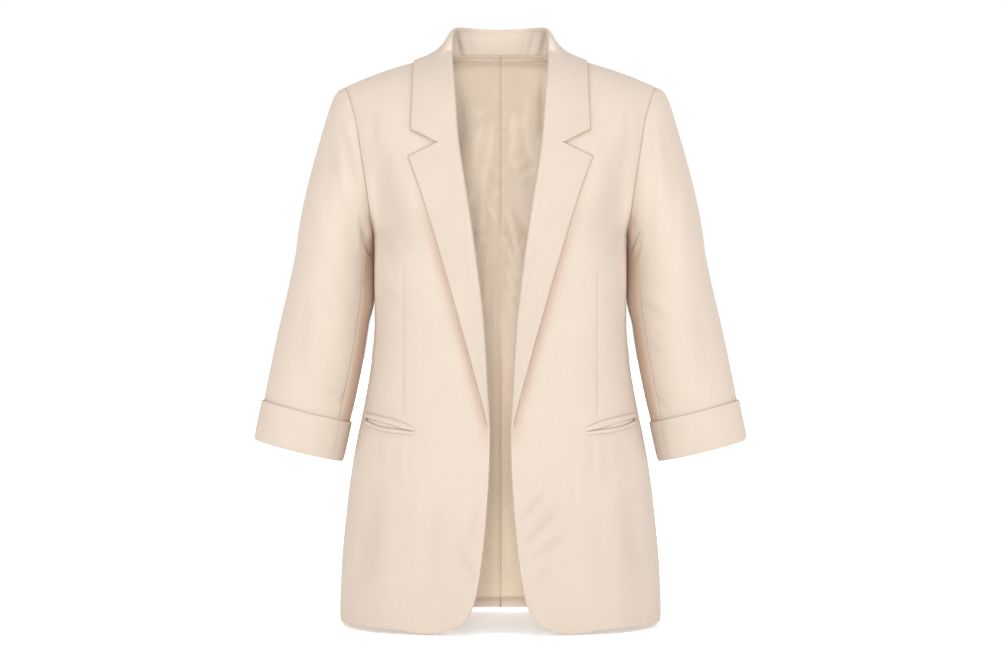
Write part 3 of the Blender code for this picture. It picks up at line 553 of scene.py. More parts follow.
def wovenCloth(name, look):
    finish, tree = newFinish(name)
    coords = addNode(tree, "ShaderNodeTexCoord")
    # threads across and down, in metres on the cloth
    bands = 2 * math.pi / 20  # a wave texture's period at scale 1
    waves = {"Vector": coords.outputs["UV"], "Scale": bands / (look["threadPitch"] * mm),
             "Distortion": look["threadWaver"], "Detail": 1.0, "Detail Scale": 2.0}
    across, down = (addNode(tree, "ShaderNodeTexWave", waves, bands_direction=axis) for axis in ("X", "Y"))
    weave = addNode(tree, "ShaderNodeMath", {0: across.outputs["Fac"], 1: down.outputs["Fac"]},
                    operation="MULTIPLY")
    # the crepe's grain, a faint cloudiness, and slubs that are long and thin down the cloth
    slubSize = (1 / (look["slub"][0] * mm), 1 / (look["slub"][1] * mm), 1)
    slubPlace = addNode(tree, "ShaderNodeMapping", {"Vector": coords.outputs["UV"], "Scale": slubSize})
    noises, ranges = [], []
    for place, scale, detail, roughness, least, most in (
        (coords.outputs["Object"], 1 / (look["grain"] * mm), 3.0, 0.6, 0.0, 1.0),
        (coords.outputs["Object"], 1 / (look["cloud"] * mm), 2.0, 0.5, 0.985, 1.01),
        (slubPlace.outputs["Vector"], 1.0, 1.0, 0.5, 0.985, 1.01),
    ):
        inputs = {"Vector": place, "Scale": scale, "Detail": detail, "Roughness": roughness}
        noises.append(addNode(tree, "ShaderNodeTexNoise", inputs).outputs["Fac"])
        # a noise hardly ever leaves this range
        inputs = {"Value": noises[-1], "From Min": 0.3, "From Max": 0.7, "To Min": least, "To Max": most}
        ranges.append(addNode(tree, "ShaderNodeMapRange", inputs).outputs["Result"])
    grain = noises[0]
    speckle, cloudiness, slubs = ranges
    # a colour mix keeps its sockets apart by type, so they are set by their place: factor, colour, colour
    yarns = {0: speckle, 6: hexLinear(look["darkYarn"]), 7: hexLinear(look["lightYarn"])}
    yarn = addNode(tree, "ShaderNodeMix", yarns, data_type="RGBA")
    # painted fold shade and painted light darken or lighten the yarn's colour, and a painted warm shade is
    # mixed in at seams, crevices and under edges
    fold = addNode(tree, "ShaderNodeAttribute", attribute_name="paintedFoldShadeAndLight")
    folds = {"Value": fold.outputs["Fac"], "To Min": 1.0, "To Max": 1 - look["paintedFoldShadeAndLight"]}
    paintedFoldLight = addNode(tree, "ShaderNodeMapRange", folds, clamp=False).outputs["Result"]
    even = addNode(tree, "ShaderNodeMath", {0: cloudiness, 1: slubs}, operation="MULTIPLY")
    dimmed = addNode(tree, "ShaderNodeMath", {0: even.outputs[0], 1: paintedFoldLight}, operation="MULTIPLY")
    bright = addNode(tree, "ShaderNodeVectorMath", {0: yarn.outputs[2], "Scale": dimmed.outputs[0]},
                     operation="SCALE")
    seam = addNode(tree, "ShaderNodeAttribute", attribute_name="paintedWarmShade")
    paintedShadeAmount = addNode(tree, "ShaderNodeMath", {0: seam.outputs["Fac"], 1: look["paintedWarmShade"]},
                      operation="MULTIPLY")
    paintedShadeInputs = {0: paintedShadeAmount.outputs[0], 6: bright.outputs["Vector"], 7: hexLinear(look["paintedShadeColour"])}
    withPaintedShade = addNode(tree, "ShaderNodeMix", paintedShadeInputs, data_type="RGBA")
    # relief: the grain over the threads; the grain's high places are a little rougher
    roughness = {"Value": grain, "To Min": look["roughness"] - 0.05, "To Max": look["roughness"] + 0.05}
    rough = addNode(tree, "ShaderNodeMapRange", roughness)
    normal = None
    for height, kind in ((weave.outputs[0], "thread"), (grain, "grain")):
        inputs = {"Height": height, "Strength": look[kind + "Strength"]}
        inputs["Distance"] = look[kind + "Depth"] * mm
        if normal is not None:
            inputs["Normal"] = normal
        normal = addNode(tree, "ShaderNodeBump", inputs).outputs["Normal"]
    cloth = {
        "Base Color": withPaintedShade.outputs[2],
        "Roughness": rough.outputs["Result"],
        "Normal": normal,
        "IOR": look["ior"],
        "Specular IOR Level": look["specular"],
        "Sheen Weight": look["sheen"],
        "Sheen Roughness": look["sheenRoughness"],
        "Sheen Tint": hexLinear(look["sheenTint"]),
    }
    shader = addNode(tree, "ShaderNodeBsdfPrincipled", cloth)
    out = addNode(tree, "ShaderNodeOutputMaterial")
    tree.links.new(shader.outputs["BSDF"], out.inputs["Surface"])
    return finish


# Polyester crepe suiting, piece-dyed and pressed: matt, with a fine pebbly grain and hardly any shine.
# Its real threads are 0.3 mm apart; they are drawn at 0.9 mm so that they show at all.
suitingLook = {
    "lightYarn": "#BEB0A3",
    "darkYarn": "#B7A99C",
    "paintedShadeColour": "#A27B60",
    "paintedWarmShade": 0.6,
    "paintedFoldShadeAndLight": 0.15,
    "threadPitch": 0.9,
    "threadWaver": 1.2,
    "threadStrength": 0.25,
    "threadDepth": 0.05,
    "grain": 1.1,
    "grainStrength": 0.35,
    "grainDepth": 0.12,
    "cloud": 45,
    "slub": (1.6, 60),  # breadth and length
    "roughness": 0.82,
    "ior": 1.5,
    "specular": 0.3,
    "sheen": 0.15,
    "sheenRoughness": 0.5,
    "sheenTint": "#FFF3E6",
}
# Polyester lining, woven smooth in filament yarn: a soft satin gleam on its wrinkles.
liningLook = {
    "lightYarn": "#F8E6D1",
    "darkYarn": "#F0DCC5",
    "paintedShadeColour": "#B08560",
    "paintedWarmShade": 0.6,
    "paintedFoldShadeAndLight": 0.2,
    "threadPitch": 0.7,
    "threadWaver": 0.5,
    "threadStrength": 0.15,
    "threadDepth": 0.03,
    "grain": 2.2,
    "grainStrength": 0.2,
    "grainDepth": 0.10,
    "cloud": 30,
    "slub": (1.6, 60),
    "roughness": 0.48,
    "ior": 1.5,
    "specular": 0.5,
    "sheen": 0.05,
    "sheenRoughness": 0.4,
    "sheenTint": "#FFF3E6",
}
suiting = wovenCloth("pressedCrepeSuiting", suitingLook)
lining = wovenCloth("filamentLining", liningLook)
print("finishes made")


def declare(piece, node):
    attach(piece, "root")
    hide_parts(node)


# fronts, with the dart and the pocket mouth

frontPanel = {
    "width": 175,
    "spacing": 3.2,
    "clothThickness": 1.2,
    "edgeThickness": 2.4,  # the pressed front edge and the turned-up hem
    "edgeTurn": 9,
    "seamSink": 0.45,
    "seamBreadth": 1.3,
    "edgeSink": 0.9,
    "edgeBreadth": 3.2,
    "armholePucker": (21, 0.35, 7),  # gathers: pitch, height and reach
    "lapelShade": 0.62,
    "lapelShadeTop": (-170, -90),  # the level at which it starts, and how far on it is full
    "lapelShadeEnd": (-500, 40),
    "hemDrop": (90, 25, 4.4),  # the hem hangs lowest before it turns up to the front edge: x, breadth, drop
    "sidePaintedLight": (3.0, 8, -272, 80),  # painted light on the side under the arm: strength, breadth, level and reach
    "sidePaintedShade": (1.0, 2.0, -278, 58),
    "creaseStrength": 1.4,
    "dartX": 118,
    "dartPlaces": [-2.4, -1.5, -0.8, -0.3, 0, 0.3, 0.8, 1.5, 2.4],
    "dartClear": 1.2,
    "dartTop": (-268, -25),
    "dartEnd": (-456, 12),
    "dartSink": 0.8,
    "dartBreadth": 1.3,
    "dartHollow": (0.5, 7),  # the cloth falls in round it: depth and breadth
    "dartPucker": (16, 0.12, 5),
    "flat": (0.237, 0.745),
    "area": 0.137,
}
lapel = {
    "edge": {"z": [-142, -188, -237, -287.5, -351, -417, -447, -470],
             "x": [110.5, 93.5, 78, 62.5, 44.5, 27, 19.2, 14.4]},
    "roll": {"z": [-114.4, -127.5, -195, -267, -351, -434.5, -466],
             "x": [50.4, 49, 38.5, 28, 18.6, 14.3, 13.4]},
    "rollRise": (3.0, 5.4),
    "edgeRise": (1.9, 3.5),
    "rollTurn": 4.0,
    "dieAway": (1, -0.16),  # at its lower end it dies into the front edge
    "edgeOut": (-437, 16),  # the front edge comes out from under it at this level
    "lift": (1.6, 0.25, 0.65),  # its low part lifts off the front: height, and share of its length
    "notchAt": (28, 4),
    "edgeFade": (-330, 90, 0.15),
    "end": 0.995,
    "rows": 120,
    "topPlaces": [0, 0.0015, 0.004, 0.008, 0.013],  # rows close together at the top edge
    "steps": (2, 2, 2, 4, 5, 5, 5, 7),  # parts of each span, from the roll to the outer edge
    "thickness": 1.9,
    "shade": 0.35,  # painted shade that darkens the whole lapel a little
    "flat": (0.072, 0.357),
    "area": 0.0138,
}
# slanted pocket mouth: from its front end to the side, the lines of its two welts, and how far they gape
pocket = {
    "x": [103, 112, 122, 129, 139, 148, 158, 164.5],
    "upperSeam": [-468.5, -464.5, -461, -459, -456.8, -455.2, -453.6, -452.8],
    "upperEdge": [-472.2, -470.6, -468.2, -466.2, -463.4, -461.2, -458.8, -457.4],
    "slit": [-473, -472.4, -471, -470.5, -469.6, -468, -464.6, -462.2],
    "lowerSeam": [-477, -476.7, -476, -475.6, -474, -472.2, -469.4, -467.4],
    "gape": [0.1, 0.3, 0.6, 0.9, 1.1, 1.2, 1.6, 1.8],
}
pocketMouth = {
    "fallBack": 0.5,  # the strip that shows between the welts
    # the strip is painted lighter, and the open end is painted darker
    "glow": 1.6,
    "slitDepth": 0.7,
    "slitBreadth": 0.6,
    "pit": (166.6, -460),  # the mouth stands open at its outer end
    "pitBreadth": (2.0, 4.4),
    "pitDepth": 5.0,
    "pitPaintedShade": 6,
}
# the outer edge of collar and lapel over the front, down from the shoulder round the notch: x and z
coverEdge = [(106.5, -15), (108, -109), (74.5, -125.5), (110.5, -142), (93.5, -188), (78, -237),
             (62.5, -287.5)]
# on both fronts
frontCreases = [
    (154, -84, 156, -136, -1.0, 6), (152, -112, 118, -262, -2.0, 21), (112, -95, 104, -210, 0.8, 16),
    (152, -222, 122, -282, -0.9, 8), (150, -300, 118, -320, -0.7, 7), (152, -332, 126, -342, 0.7, 7),
    (109, -478, 110, -530, -0.5, 3.6), (117, -480, 118, -540, 0.45, 4), (126, -478, 128, -534, -0.55, 3.6),
    (136, -476, 138, -524, 0.5, 4), (146, -474, 148, -514, -0.45, 4), (60, -330, 50, -440, 0.8, 14),
]
sideCreases = {
    "left": [
        (22, -582, 56, -541, -1.5, 5), (28, -590, 62, -551, 1.0, 5), (26, -612, 74, -560, -1.5, 6),
        (33, -620, 80, -572, 0.9, 6), (28, -630, 86, -591, -1.1, 6), (36, -657, 62, -631, -0.8, 5),
        (88, -505, 104, -640, 1.0, 15), (152, -540, 164, -670, -1.2, 12), (112, -560, 124, -680, -0.8, 12),
    ],
    "right": [
        (56, -598, 30, -654, -1.2, 5.5), (50, -622, 34, -668, 0.9, 5), (24, -550, 40, -612, -0.8, 7),
        (96, -520, 110, -650, 1.0, 15), (146, -530, 162, -668, -1.2, 13), (74, -560, 86, -660, -0.7, 12),
    ],
}


def frontPin(rows, innerTurn, innerStation, outerTurn, outerStation):
    # the share of each row at which it crosses the dart's line
    share = np.full(len(rows), 0.5)
    for _ in range(12):
        turn = innerTurn + (outerTurn - innerTurn) * share
        station = innerStation + (outerStation - innerStation) * share
        x = bodyPoint(turn, station)[:, 0] / mm
        slope = (bodyPoint(turn + 0.5, station)[:, 0] / mm - x) / 0.5
        nearer = (frontPanel["dartX"] - x) / np.maximum(slope, 0.3) / (outerTurn - innerTurn)
        share = np.clip(share + nearer, 0.3, 0.9)
    return share


def mouthParts(x, z):
    # how far a place lies in the pocket's mouth, the strip between its welts, the slit and the open end
    upper, slit = (smoothCurve(pocket["x"], pocket[key], x) for key in ("upperEdge", "slit"))
    inMouth = ramp(x, pocket["x"][0], 8) * ramp(x, pocket["x"][-1] + 5, -2)
    inStrip = ramp(z, upper + 1.5, -1.5) * ramp(z - slit, -1.5, 1.5)
    (pitX, pitZ), (breadth, reach) = pocketMouth["pit"], pocketMouth["pitBreadth"]
    inPit = bell(x - pitX, breadth) * bell(z - pitZ, reach)
    return inMouth, inStrip, bell(z - slit, pocketMouth["slitBreadth"]), inPit


def buildFront(side):
    half, name = frontPanel, sideName(side)
    rows = rowPlaces("front", lastRow)
    across = shares(half["width"], half["spacing"])
    dart = np.array(half["dartPlaces"]) / half["width"]
    apart = np.abs(across[:, None] - 0.5 - dart[None]).min(1) * half["width"]
    across = np.sort(np.concatenate([across[apart > half["dartClear"]], 0.5 + dart]))
    net, normals = panelNet("front", rows, across, frontPin)
    net = drawIn(net, ("right", "top"))
    away = edgeDistances(net)
    bySeam = {edge: bell(distance, half["seamBreadth"]) for edge, distance in away.items()}
    x, z = frontView(net)
    belowNeck = (rows > len(panelRows["frontNeck"]) - 1)[:, None]
    height = creaseHeight(x, z, frontCreases + sideCreases[name], half["creaseStrength"])
    height *= 1 - np.maximum(bell(away["right"], plainBySeam), bell(away["top"], plainBySeam))
    # painted shade in the creases' troughs
    paintedShadeAndLight = paintedTroughShade(height, 4)
    # painted light on the side under the arm, and a painted warm shade along its seam
    glow, sidePaintedShade = (
        strength * (bell(x - bodyForm["underarmHalfWidth"], breadth) * bell(z - level, reach))
        for strength, breadth, level, reach in (half["sidePaintedLight"], half["sidePaintedShade"])
    )
    paintedShadeAndLight = paintedShadeAndLight - glow
    # seams at the shoulder, armhole and side turn in, and so do the pressed edges
    besideSleeve = (rows < panelRows["armholeRows"])[:, None] * bySeam["right"]
    height -= half["seamSink"] * np.clip(bySeam["right"] + bySeam["top"] - besideSleeve, 0, 1)
    onEdge = belowNeck * bell(away["left"], half["edgeBreadth"]) + bell(away["bottom"], half["edgeBreadth"])
    height -= half["edgeSink"] * np.minimum(onEdge, 1)
    height += pucker(away["top"], away["right"], *half["armholePucker"]) * (1 - bell(away["right"], 2))
    # dart: a stitched line that draws the cloth in, deepest at the waist
    dartOpen = ramp(z, *half["dartTop"]) * ramp(z, *half["dartEnd"])
    fromDart = np.abs(x - half["dartX"])
    hollow, breadth = half["dartHollow"]
    stitched = half["dartSink"] * bell(fromDart, half["dartBreadth"])
    height -= dartOpen * (stitched + hollow * bell(fromDart, breadth))
    height += dartOpen * pucker(z, fromDart, *half["dartPucker"])
    # pocket mouth: the cloth falls back between the two welts; the strip is painted lighter and the open end
    # painted darker
    inMouth, inStrip, inSlit, inPit = mouthParts(x, z)
    height -= inMouth * (pocketMouth["fallBack"] * inStrip + pocketMouth["slitDepth"] * inSlit)
    height -= pocketMouth["pitDepth"] * inPit
    paintedShadeAndLight = paintedShadeAndLight - pocketMouth["glow"] * inMouth * inStrip + pocketMouth["pitPaintedShade"] * inPit
    net = laidOn(net, normals, height, half["seamSink"] * besideSleeve)
    dropX, dropBreadth, drop = half["hemDrop"]
    net[..., 2] -= drop * mm * bell(x - dropX, dropBreadth) * nearEdge(away["bottom"], 60) ** 2
    normals = outward(gridNormals(net), normals)
    turned = np.maximum(belowNeck * nearEdge(away["left"], half["edgeTurn"]),
                        nearEdge(away["bottom"], half["edgeTurn"]))
    thickness = half["clothThickness"] + (half["edgeThickness"] - half["clothThickness"]) * turned**0.5
    fromCover = [awayFromLine(x, z, *start, *end)[0] for start, end in zip(coverEdge, coverEdge[1:])]
    # a soft warm shade lies beside the lapel where its lower half lifts
    overEdge = readLine(lapel["edge"], z)
    beside = ramp(z, *half["lapelShadeTop"]) * ramp(z, *half["lapelShadeEnd"]) * (x > overEdge)
    # painted warm shade along the seams, the dart, the pocket's slit and open end, beside the lapel and
    # under the edges of collar and lapel
    paintedShade = strongest(
        0.75 * bell(away["right"], 1.0), 0.2 * bell(away["top"], 1.0), sidePaintedShade,
        dartOpen * bell(fromDart, 0.8) * 0.4,
        inMouth * inSlit * ramp(x, 100, 40, 0.3, 0.6), 0.4 * inPit,
        half["lapelShade"] * beside * bell(x - overEdge - 3, 8),
        0.6 * bell(np.minimum.reduce(fromCover), 1.4),
    )
    free = np.maximum(belowNeck & (away["left"] < 1), away["bottom"] < 1) * 0.4
    shell = "front_shell_" + name
    piece = clothWall(shell, net, normals, thickness, suiting, side, paintedShade, paintedShadeAndLight, free)
    declare(piece, "front_" + name)


# backs and their lining

backPanel = {
    "width": 185,
    "spacing": 3.4,
    "clothThickness": 1.2,
    "edgeThickness": 2.2,
    "edgeTurn": 9,
    "seamSink": 0.45,
    "seamBreadth": 1.3,
    "creaseStrength": 1.3,
    "edgeSink": 0.8,
    "edgeBreadth": 3.2,
    "armholePucker": (23, 0.25, 7),  # gathers: pitch, height and reach
    "centrePucker": (27, 0.22, 8),
    "hemPaintedLight": (5.0, 14),  # painted light on the inside of the turned-up hem: strength and reach
    "flat": (0.258, 0.755),
    "area": 0.160,
}
backCreases = {
    "left": [
        (20, -30, 62, -58, -1.2, 9), (30, -52, 84, -92, 1.0, 10), (158, -150, 120, -215, -2.0, 11),
        (150, -178, 104, -238, 1.4, 10), (148, -236, 96, -288, -1.2, 10), (20, -318, 92, -338, -1.8, 8),
        (16, -340, 96, -356, 1.5, 8), (40, -362, 118, -372, -1.5, 8), (92, -420, 104, -560, 1.5, 14),
        (30, -440, 34, -600, -1.4, 14), (150, -470, 160, -610, 1.2, 12),
    ],
    "right": [
        (18, -34, 58, -64, -1.0, 9), (36, -60, 92, -98, 0.9, 10), (160, -140, 128, -205, -1.8, 11),
        (152, -170, 100, -226, 1.4, 11), (150, -222, 92, -266, -1.0, 10), (26, -306, 100, -330, -1.7, 8),
        (22, -330, 110, -348, 1.4, 9), (30, -356, 104, -376, -1.7, 8), (84, -410, 98, -540, 1.4, 15),
        (40, -450, 46, -620, -1.5, 14), (146, -500, 156, -640, 1.4, 12),
    ],
}


def buildBack(side):
    half, name = backPanel, sideName(side)
    rows = rowPlaces("back", lastRow)
    net, normals = panelNet("back", rows, shares(half["width"], half["spacing"]))
    net = drawIn(net, ("right", "top", "left"))
    away = edgeDistances(net)
    bySeam = {edge: bell(distance, half["seamBreadth"]) for edge, distance in away.items()}
    x, z = frontView(net)
    belowNeck = (rows >= len(panelRows["backNeck"]) - 1)[:, None]
    height = creaseHeight(x, z, backCreases[name], half["creaseStrength"])
    height *= 1 - np.maximum(bell(away["right"], plainBySeam), bell(away["top"], plainBySeam))
    # painted shade in the creases' troughs
    paintedShadeAndLight = paintedTroughShade(height, 4)
    besideSleeve = (rows < panelRows["armholeRows"])[:, None] * bySeam["right"]
    onSeam = bySeam["right"] + bySeam["top"] + belowNeck * bySeam["left"]
    height -= half["seamSink"] * np.clip(onSeam - besideSleeve, 0, 1)
    height -= half["edgeSink"] * bell(away["bottom"], half["edgeBreadth"])
    height += pucker(away["top"], away["right"], *half["armholePucker"]) * (1 - bell(away["right"], 2))
    height += belowNeck * pucker(away["top"] + 5 * side, away["left"], *half["centrePucker"])
    net = laidOn(net, normals, height, half["seamSink"] * besideSleeve)
    normals = outward(gridNormals(net), normals)
    turned = nearEdge(away["bottom"], half["edgeTurn"])
    thickness = half["clothThickness"] + (half["edgeThickness"] - half["clothThickness"]) * turned**0.5
    # painted warm shade along the seams
    paintedShade = strongest(0.75 * bell(away["right"], 1.0), 0.2 * bell(away["top"], 1.0),
                     belowNeck * bell(away["left"], 1.1))
    # the inside of the hem is painted lighter
    strength, reach = half["hemPaintedLight"]
    glow = -strength * bell(away["bottom"], reach)
    free = (away["bottom"] < 1) * 0.4
    shell = "back_shell_" + name
    piece = clothWall(shell, net, normals, thickness, suiting, side, paintedShade, paintedShadeAndLight, free, glow)
    declare(piece, "back_" + name)


liningCloth = {
    "thickness": 0.5,
    "stand": 3.2,  # from the back's outer face to the lining's front
    "clear": 1.1,  # least way from the back's inner face to the lining's front
    "paintedBands": [(-100, 50, 0.2), (-420, 100, -0.9), (-600, 60, -0.3)],  # painted bands, darker where the strength is above zero and lighter below it: level, reach, strength
    "settle": {"right": 20, "top": 14, "bottom": 6},  # how far from each edge the wrinkles are full
    "neckReach": 3.2,  # how near the neck seam it turns up, and how far forward and up
    "neckForward": 1.9,
    "neckLift": 0.9,
    "seamPlain": ((-235, 30), (-350, -40)),  # where its centre seam shows clearly: from a level, up or down
    "hemStitch": (4.2, 0.8, 0.3),  # stitched again beside the edge: distance, breadth and strength
    "seamStitch": (3.6, 0.6, 0.25),
    "margin": 3,
    "rowsShort": 2.3,
    "spacing": 2.6,
    "flat": (0.249, 0.735),
    "area": 0.153,
    "creaseStrength": 1.5,
    "centrePucker": (13, 0.7, 8),
    "crumples": 60,
    "seed": 4,
}
# inward of the back, as they show through the opening
liningCreases = {
    "left": [
        (6, -190, 32, -268, 3.0, 5.5), (12, -186, 44, -258, -1.1, 5), (20, -216, 35, -276, -2.6, 3.2),
        (2, -214, 20, -262, -1.3, 2.6), (8, -240, 24, -284, 2.4, 4.5), (6, -266, 20, -310, 2.0, 4.5),
        (5, -296, 16, -330, 1.4, 4), (52, -8, 50, -120, -1.3, 4.5), (33, -40, 36, -130, 1.2, 6),
        (30, -96, 36, -180, -1.0, 7), (60, -90, 66, -190, -1.1, 9), (16, -66, 20, -120, 1.2, 5),
        (24, -320, 27, -700, 2.2, 9), (6, -330, 7, -700, 1.4, 4.5), (14, -560, 28, -620, -1.2, 5),
        (32, -580, 18, -650, 1.0, 5),
    ],
    "right": [
        (18, -186, 2, -208, 1.8, 3.5), (18, -130, 30, -226, 2.2, 7), (30, -84, 36, -196, 1.8, 8),
        (52, -28, 43, -124, -0.8, 6), (52, -80, 56, -180, -1.1, 8), (10, -80, 13, -140, 1.1, 5),
        (15, -236, 20, -340, 1.8, 6), (26, -340, 28, -700, 2.0, 9), (6, -290, 7, -700, 1.7, 4.5),
        (22, -190, 10, -214, -1.3, 2.6), (28, -150, 34, -250, -1.4, 5),
    ],
}


def crumples(side):
    # short uneven wrinkles, thickest under the neck seam where the lining has most to spare
    dice = np.random.default_rng(liningCloth["seed"] + (side > 0))
    found = []
    for _ in range(liningCloth["crumples"]):
        x, z = dice.uniform(4, 130), -62 - 190 * dice.random() ** 1.6
        length, lean = dice.uniform(10, 34), dice.uniform(-1.5, 1.5)
        height, breadth = dice.uniform(0.4, 1.1), dice.uniform(2.8, 6)
        found.append((x, z, x + length * math.sin(lean), z - length * math.cos(lean), height, breadth))
    return found


def buildLining(side):
    half, name = liningCloth, sideName(side)
    lowest = lastRow - half["rowsShort"]
    rows = rowPlaces("back", math.ceil(lowest))
    rows = np.append(rows[rows < lowest - 0.05], lowest)
    across = shares(backPanel["width"], half["spacing"])
    net, normals = panelNet("back", rows, across)
    away = edgeDistances(net)
    x, z = frontView(net)
    neckRows = len(panelRows["backNeck"]) - 1
    wrinkle = creaseHeight(x, z, liningCreases[name] + crumples(side), half["creaseStrength"])
    centre = (rows >= neckRows)[:, None] * 1.0
    wrinkle *= 1 - centre * bell(away["left"], 2.2)
    wrinkle += centre * pucker(away["top"], away["left"], *half["centrePucker"]) * ramp(z, -330, 120, 0.25)
    settle = 1.0
    for edge, reach in half["settle"].items():
        settle = settle * np.minimum(1, away[edge] / reach)
    inward = half["stand"] + np.maximum(wrinkle * (0.15 + 0.85 * settle), -1.2)
    # it stays in front of the back's inner face, also where a crease brings that forward
    backLean = creaseHeight(x, z, backCreases[name], backPanel["creaseStrength"])
    inward = np.maximum(inward, backPanel["clothThickness"] + half["clear"] - np.minimum(backLean, 0))
    # at the neck it turns up in front of the back's edge and the foot of the collar
    neckPlace = np.linspace(0, panelRows["backNeck"][0], 60)
    neck = [readAlong(neckline, key, neckPlace) for key in ("x", "station")]
    fromNeck = np.linalg.norm(net[:, :, None] - bodyPoint(*signedPlace(*neck)), axis=-1).min(-1) / mm
    atNeck = bell(fromNeck, half["neckReach"])[..., None]
    toMiddle = unit(net * [-1, -1, 0])
    turnedUp = (half["neckForward"] * toMiddle + half["neckLift"] * np.array([0, 0, 1])) * mm
    net = net + turnedUp * atNeck - (inward * mm)[..., None] * normals * (1 - atNeck)
    drawn = gridNormals(net)
    # the lining stops a little short of the seams that it is felled to
    trim = half["margin"] / backPanel["width"]
    keep = np.where(across[None] > 1 - trim, 1 - trim, across[None])
    net = net - (across[None] - keep)[..., None] * (net[:, -1:] - net[:, -8:-7]) / (across[-1] - across[-8])
    # the centre seam shows least where the cloth puckers over it
    plain = 0.15 + 0.85 * np.maximum(*(ramp(z, *band) for band in half["seamPlain"]))
    stitched = {}
    for edge, key in (("bottom", "hemStitch"), ("left", "seamStitch")):
        distance, breadth, strength = half[key]
        stitched[key] = strength * bell(away[edge] - distance, breadth)
    # painted warm shade along the centre seam, under the neck seam, at the lower edge and in deep wrinkles,
    # with the lines of stitching
    paintedShade = strongest(
        0.75 * centre * plain * bell(away["left"], 0.7), 0.3 * bell(fromNeck, 0.8),
        0.8 * bell(away["bottom"], 1.6), stitched["hemStitch"], stitched["seamStitch"] * centre * (side < 0),
        0.55 * ramp(wrinkle, -0.8, -1.6),
    )
    # painted shade in the wrinkles' troughs and a painted highlight on their ridges, weaker low down
    paintedShadeAndLight = np.clip((0.9 - wrinkle) / 2.4, -0.2, 1) * ramp(z, -420, 100, 0.4)
    for level, reach, strength in half["paintedBands"]:
        paintedShadeAndLight = paintedShadeAndLight + strength * bell(z - level, reach)
    free = np.maximum(away["bottom"] < 1, (rows <= neckRows)[:, None] & (away["left"] < 1)) * 0.4
    shell = "lining_shell_" + name
    piece = clothWall(shell, net, drawn, half["thickness"], lining, side, paintedShade, paintedShadeAndLight, free)
    declare(piece, "lining_back_" + name)


# sleeves and cuffs

sleeve = {
    "level": [-262, -300, -340, -380, -420, -460, -497],
    "centreX": [207.3, 212, 218.6, 226, 234.2, 242.6, 250.3],
    "centreY": [2, 0, -3, -6, -9, -12, -14],
    "halfWidth": [49, 51.8, 54.4, 55.6, 55.8, 54.8, 54.4],
    "halfDepth": [62, 59.5, 56, 51.5, 46, 41, 38],
    "tilt": [11, 11, 11.5, 12.5, 13.5, 14.3, 13.8],
    "headLift": 11,
    "headRise": 7,
    "sideRise": 16,
    "capRings": 8,
    "armRings": 8,
    "seamRings": [0, 0.06, 0.12, 0.2, 0.3, 0.42],  # beside the armhole seam
    "capRows": 58,
    "armRows": 82,
    "perDegree": 0.97,
    "topWidth": 250,
    "underWidth": 100,
    "spacing": 3.0,
    "frontSeam": 180 * 11 / 14,
    "backSeam": 360 - 180 * 9 / 14,
    "clothThickness": 1.2,
    "seamSink": 0.45,
    "seamBreadth": 1.3,
    "clearOfSide": 0.35,
    "creaseStrength": 1.0,
    "headPucker": (17, 0.3, 7),
    "frontPucker": (24, 0.25, 7),
    "backPucker": (27, 0.25, 7),
    # the warm shade between arm and body: the turns it starts at further and further down, its end and top
    "shadeDown": (190, 226, 330),
    "shadeTurns": (152, 133),
    "shadeEnd": 225,
    "shadeTop": (-194, -30),
    "nearBody": (146, 22),
    "seamShown": (-245, -25),
    # painted warm shade and painted light on the sleeve's inner side by the body
    "underPaintedShade": 1.0,
    "underPaintedLight": 2.8,
    "topFlat": (0.285, 0.456),
    "topArea": 0.0994,
    "underFlat": (0.125, 0.341),
    "underArea": 0.0287,
}
# broad folds round the arm: ring and turn at each end, height and half breadth
sleeveFolds = [
    (2.2, 62, 5.6, 96, 2.6, 9), (4.0, 38, 6.6, 70, 1.8, 8), (3.0, 262, 6.4, 224, 2.6, 9),
    (9.6, 128, 11.4, 84, 1.6, 8), (11.6, 232, 12.6, 276, 1.8, 8),
]
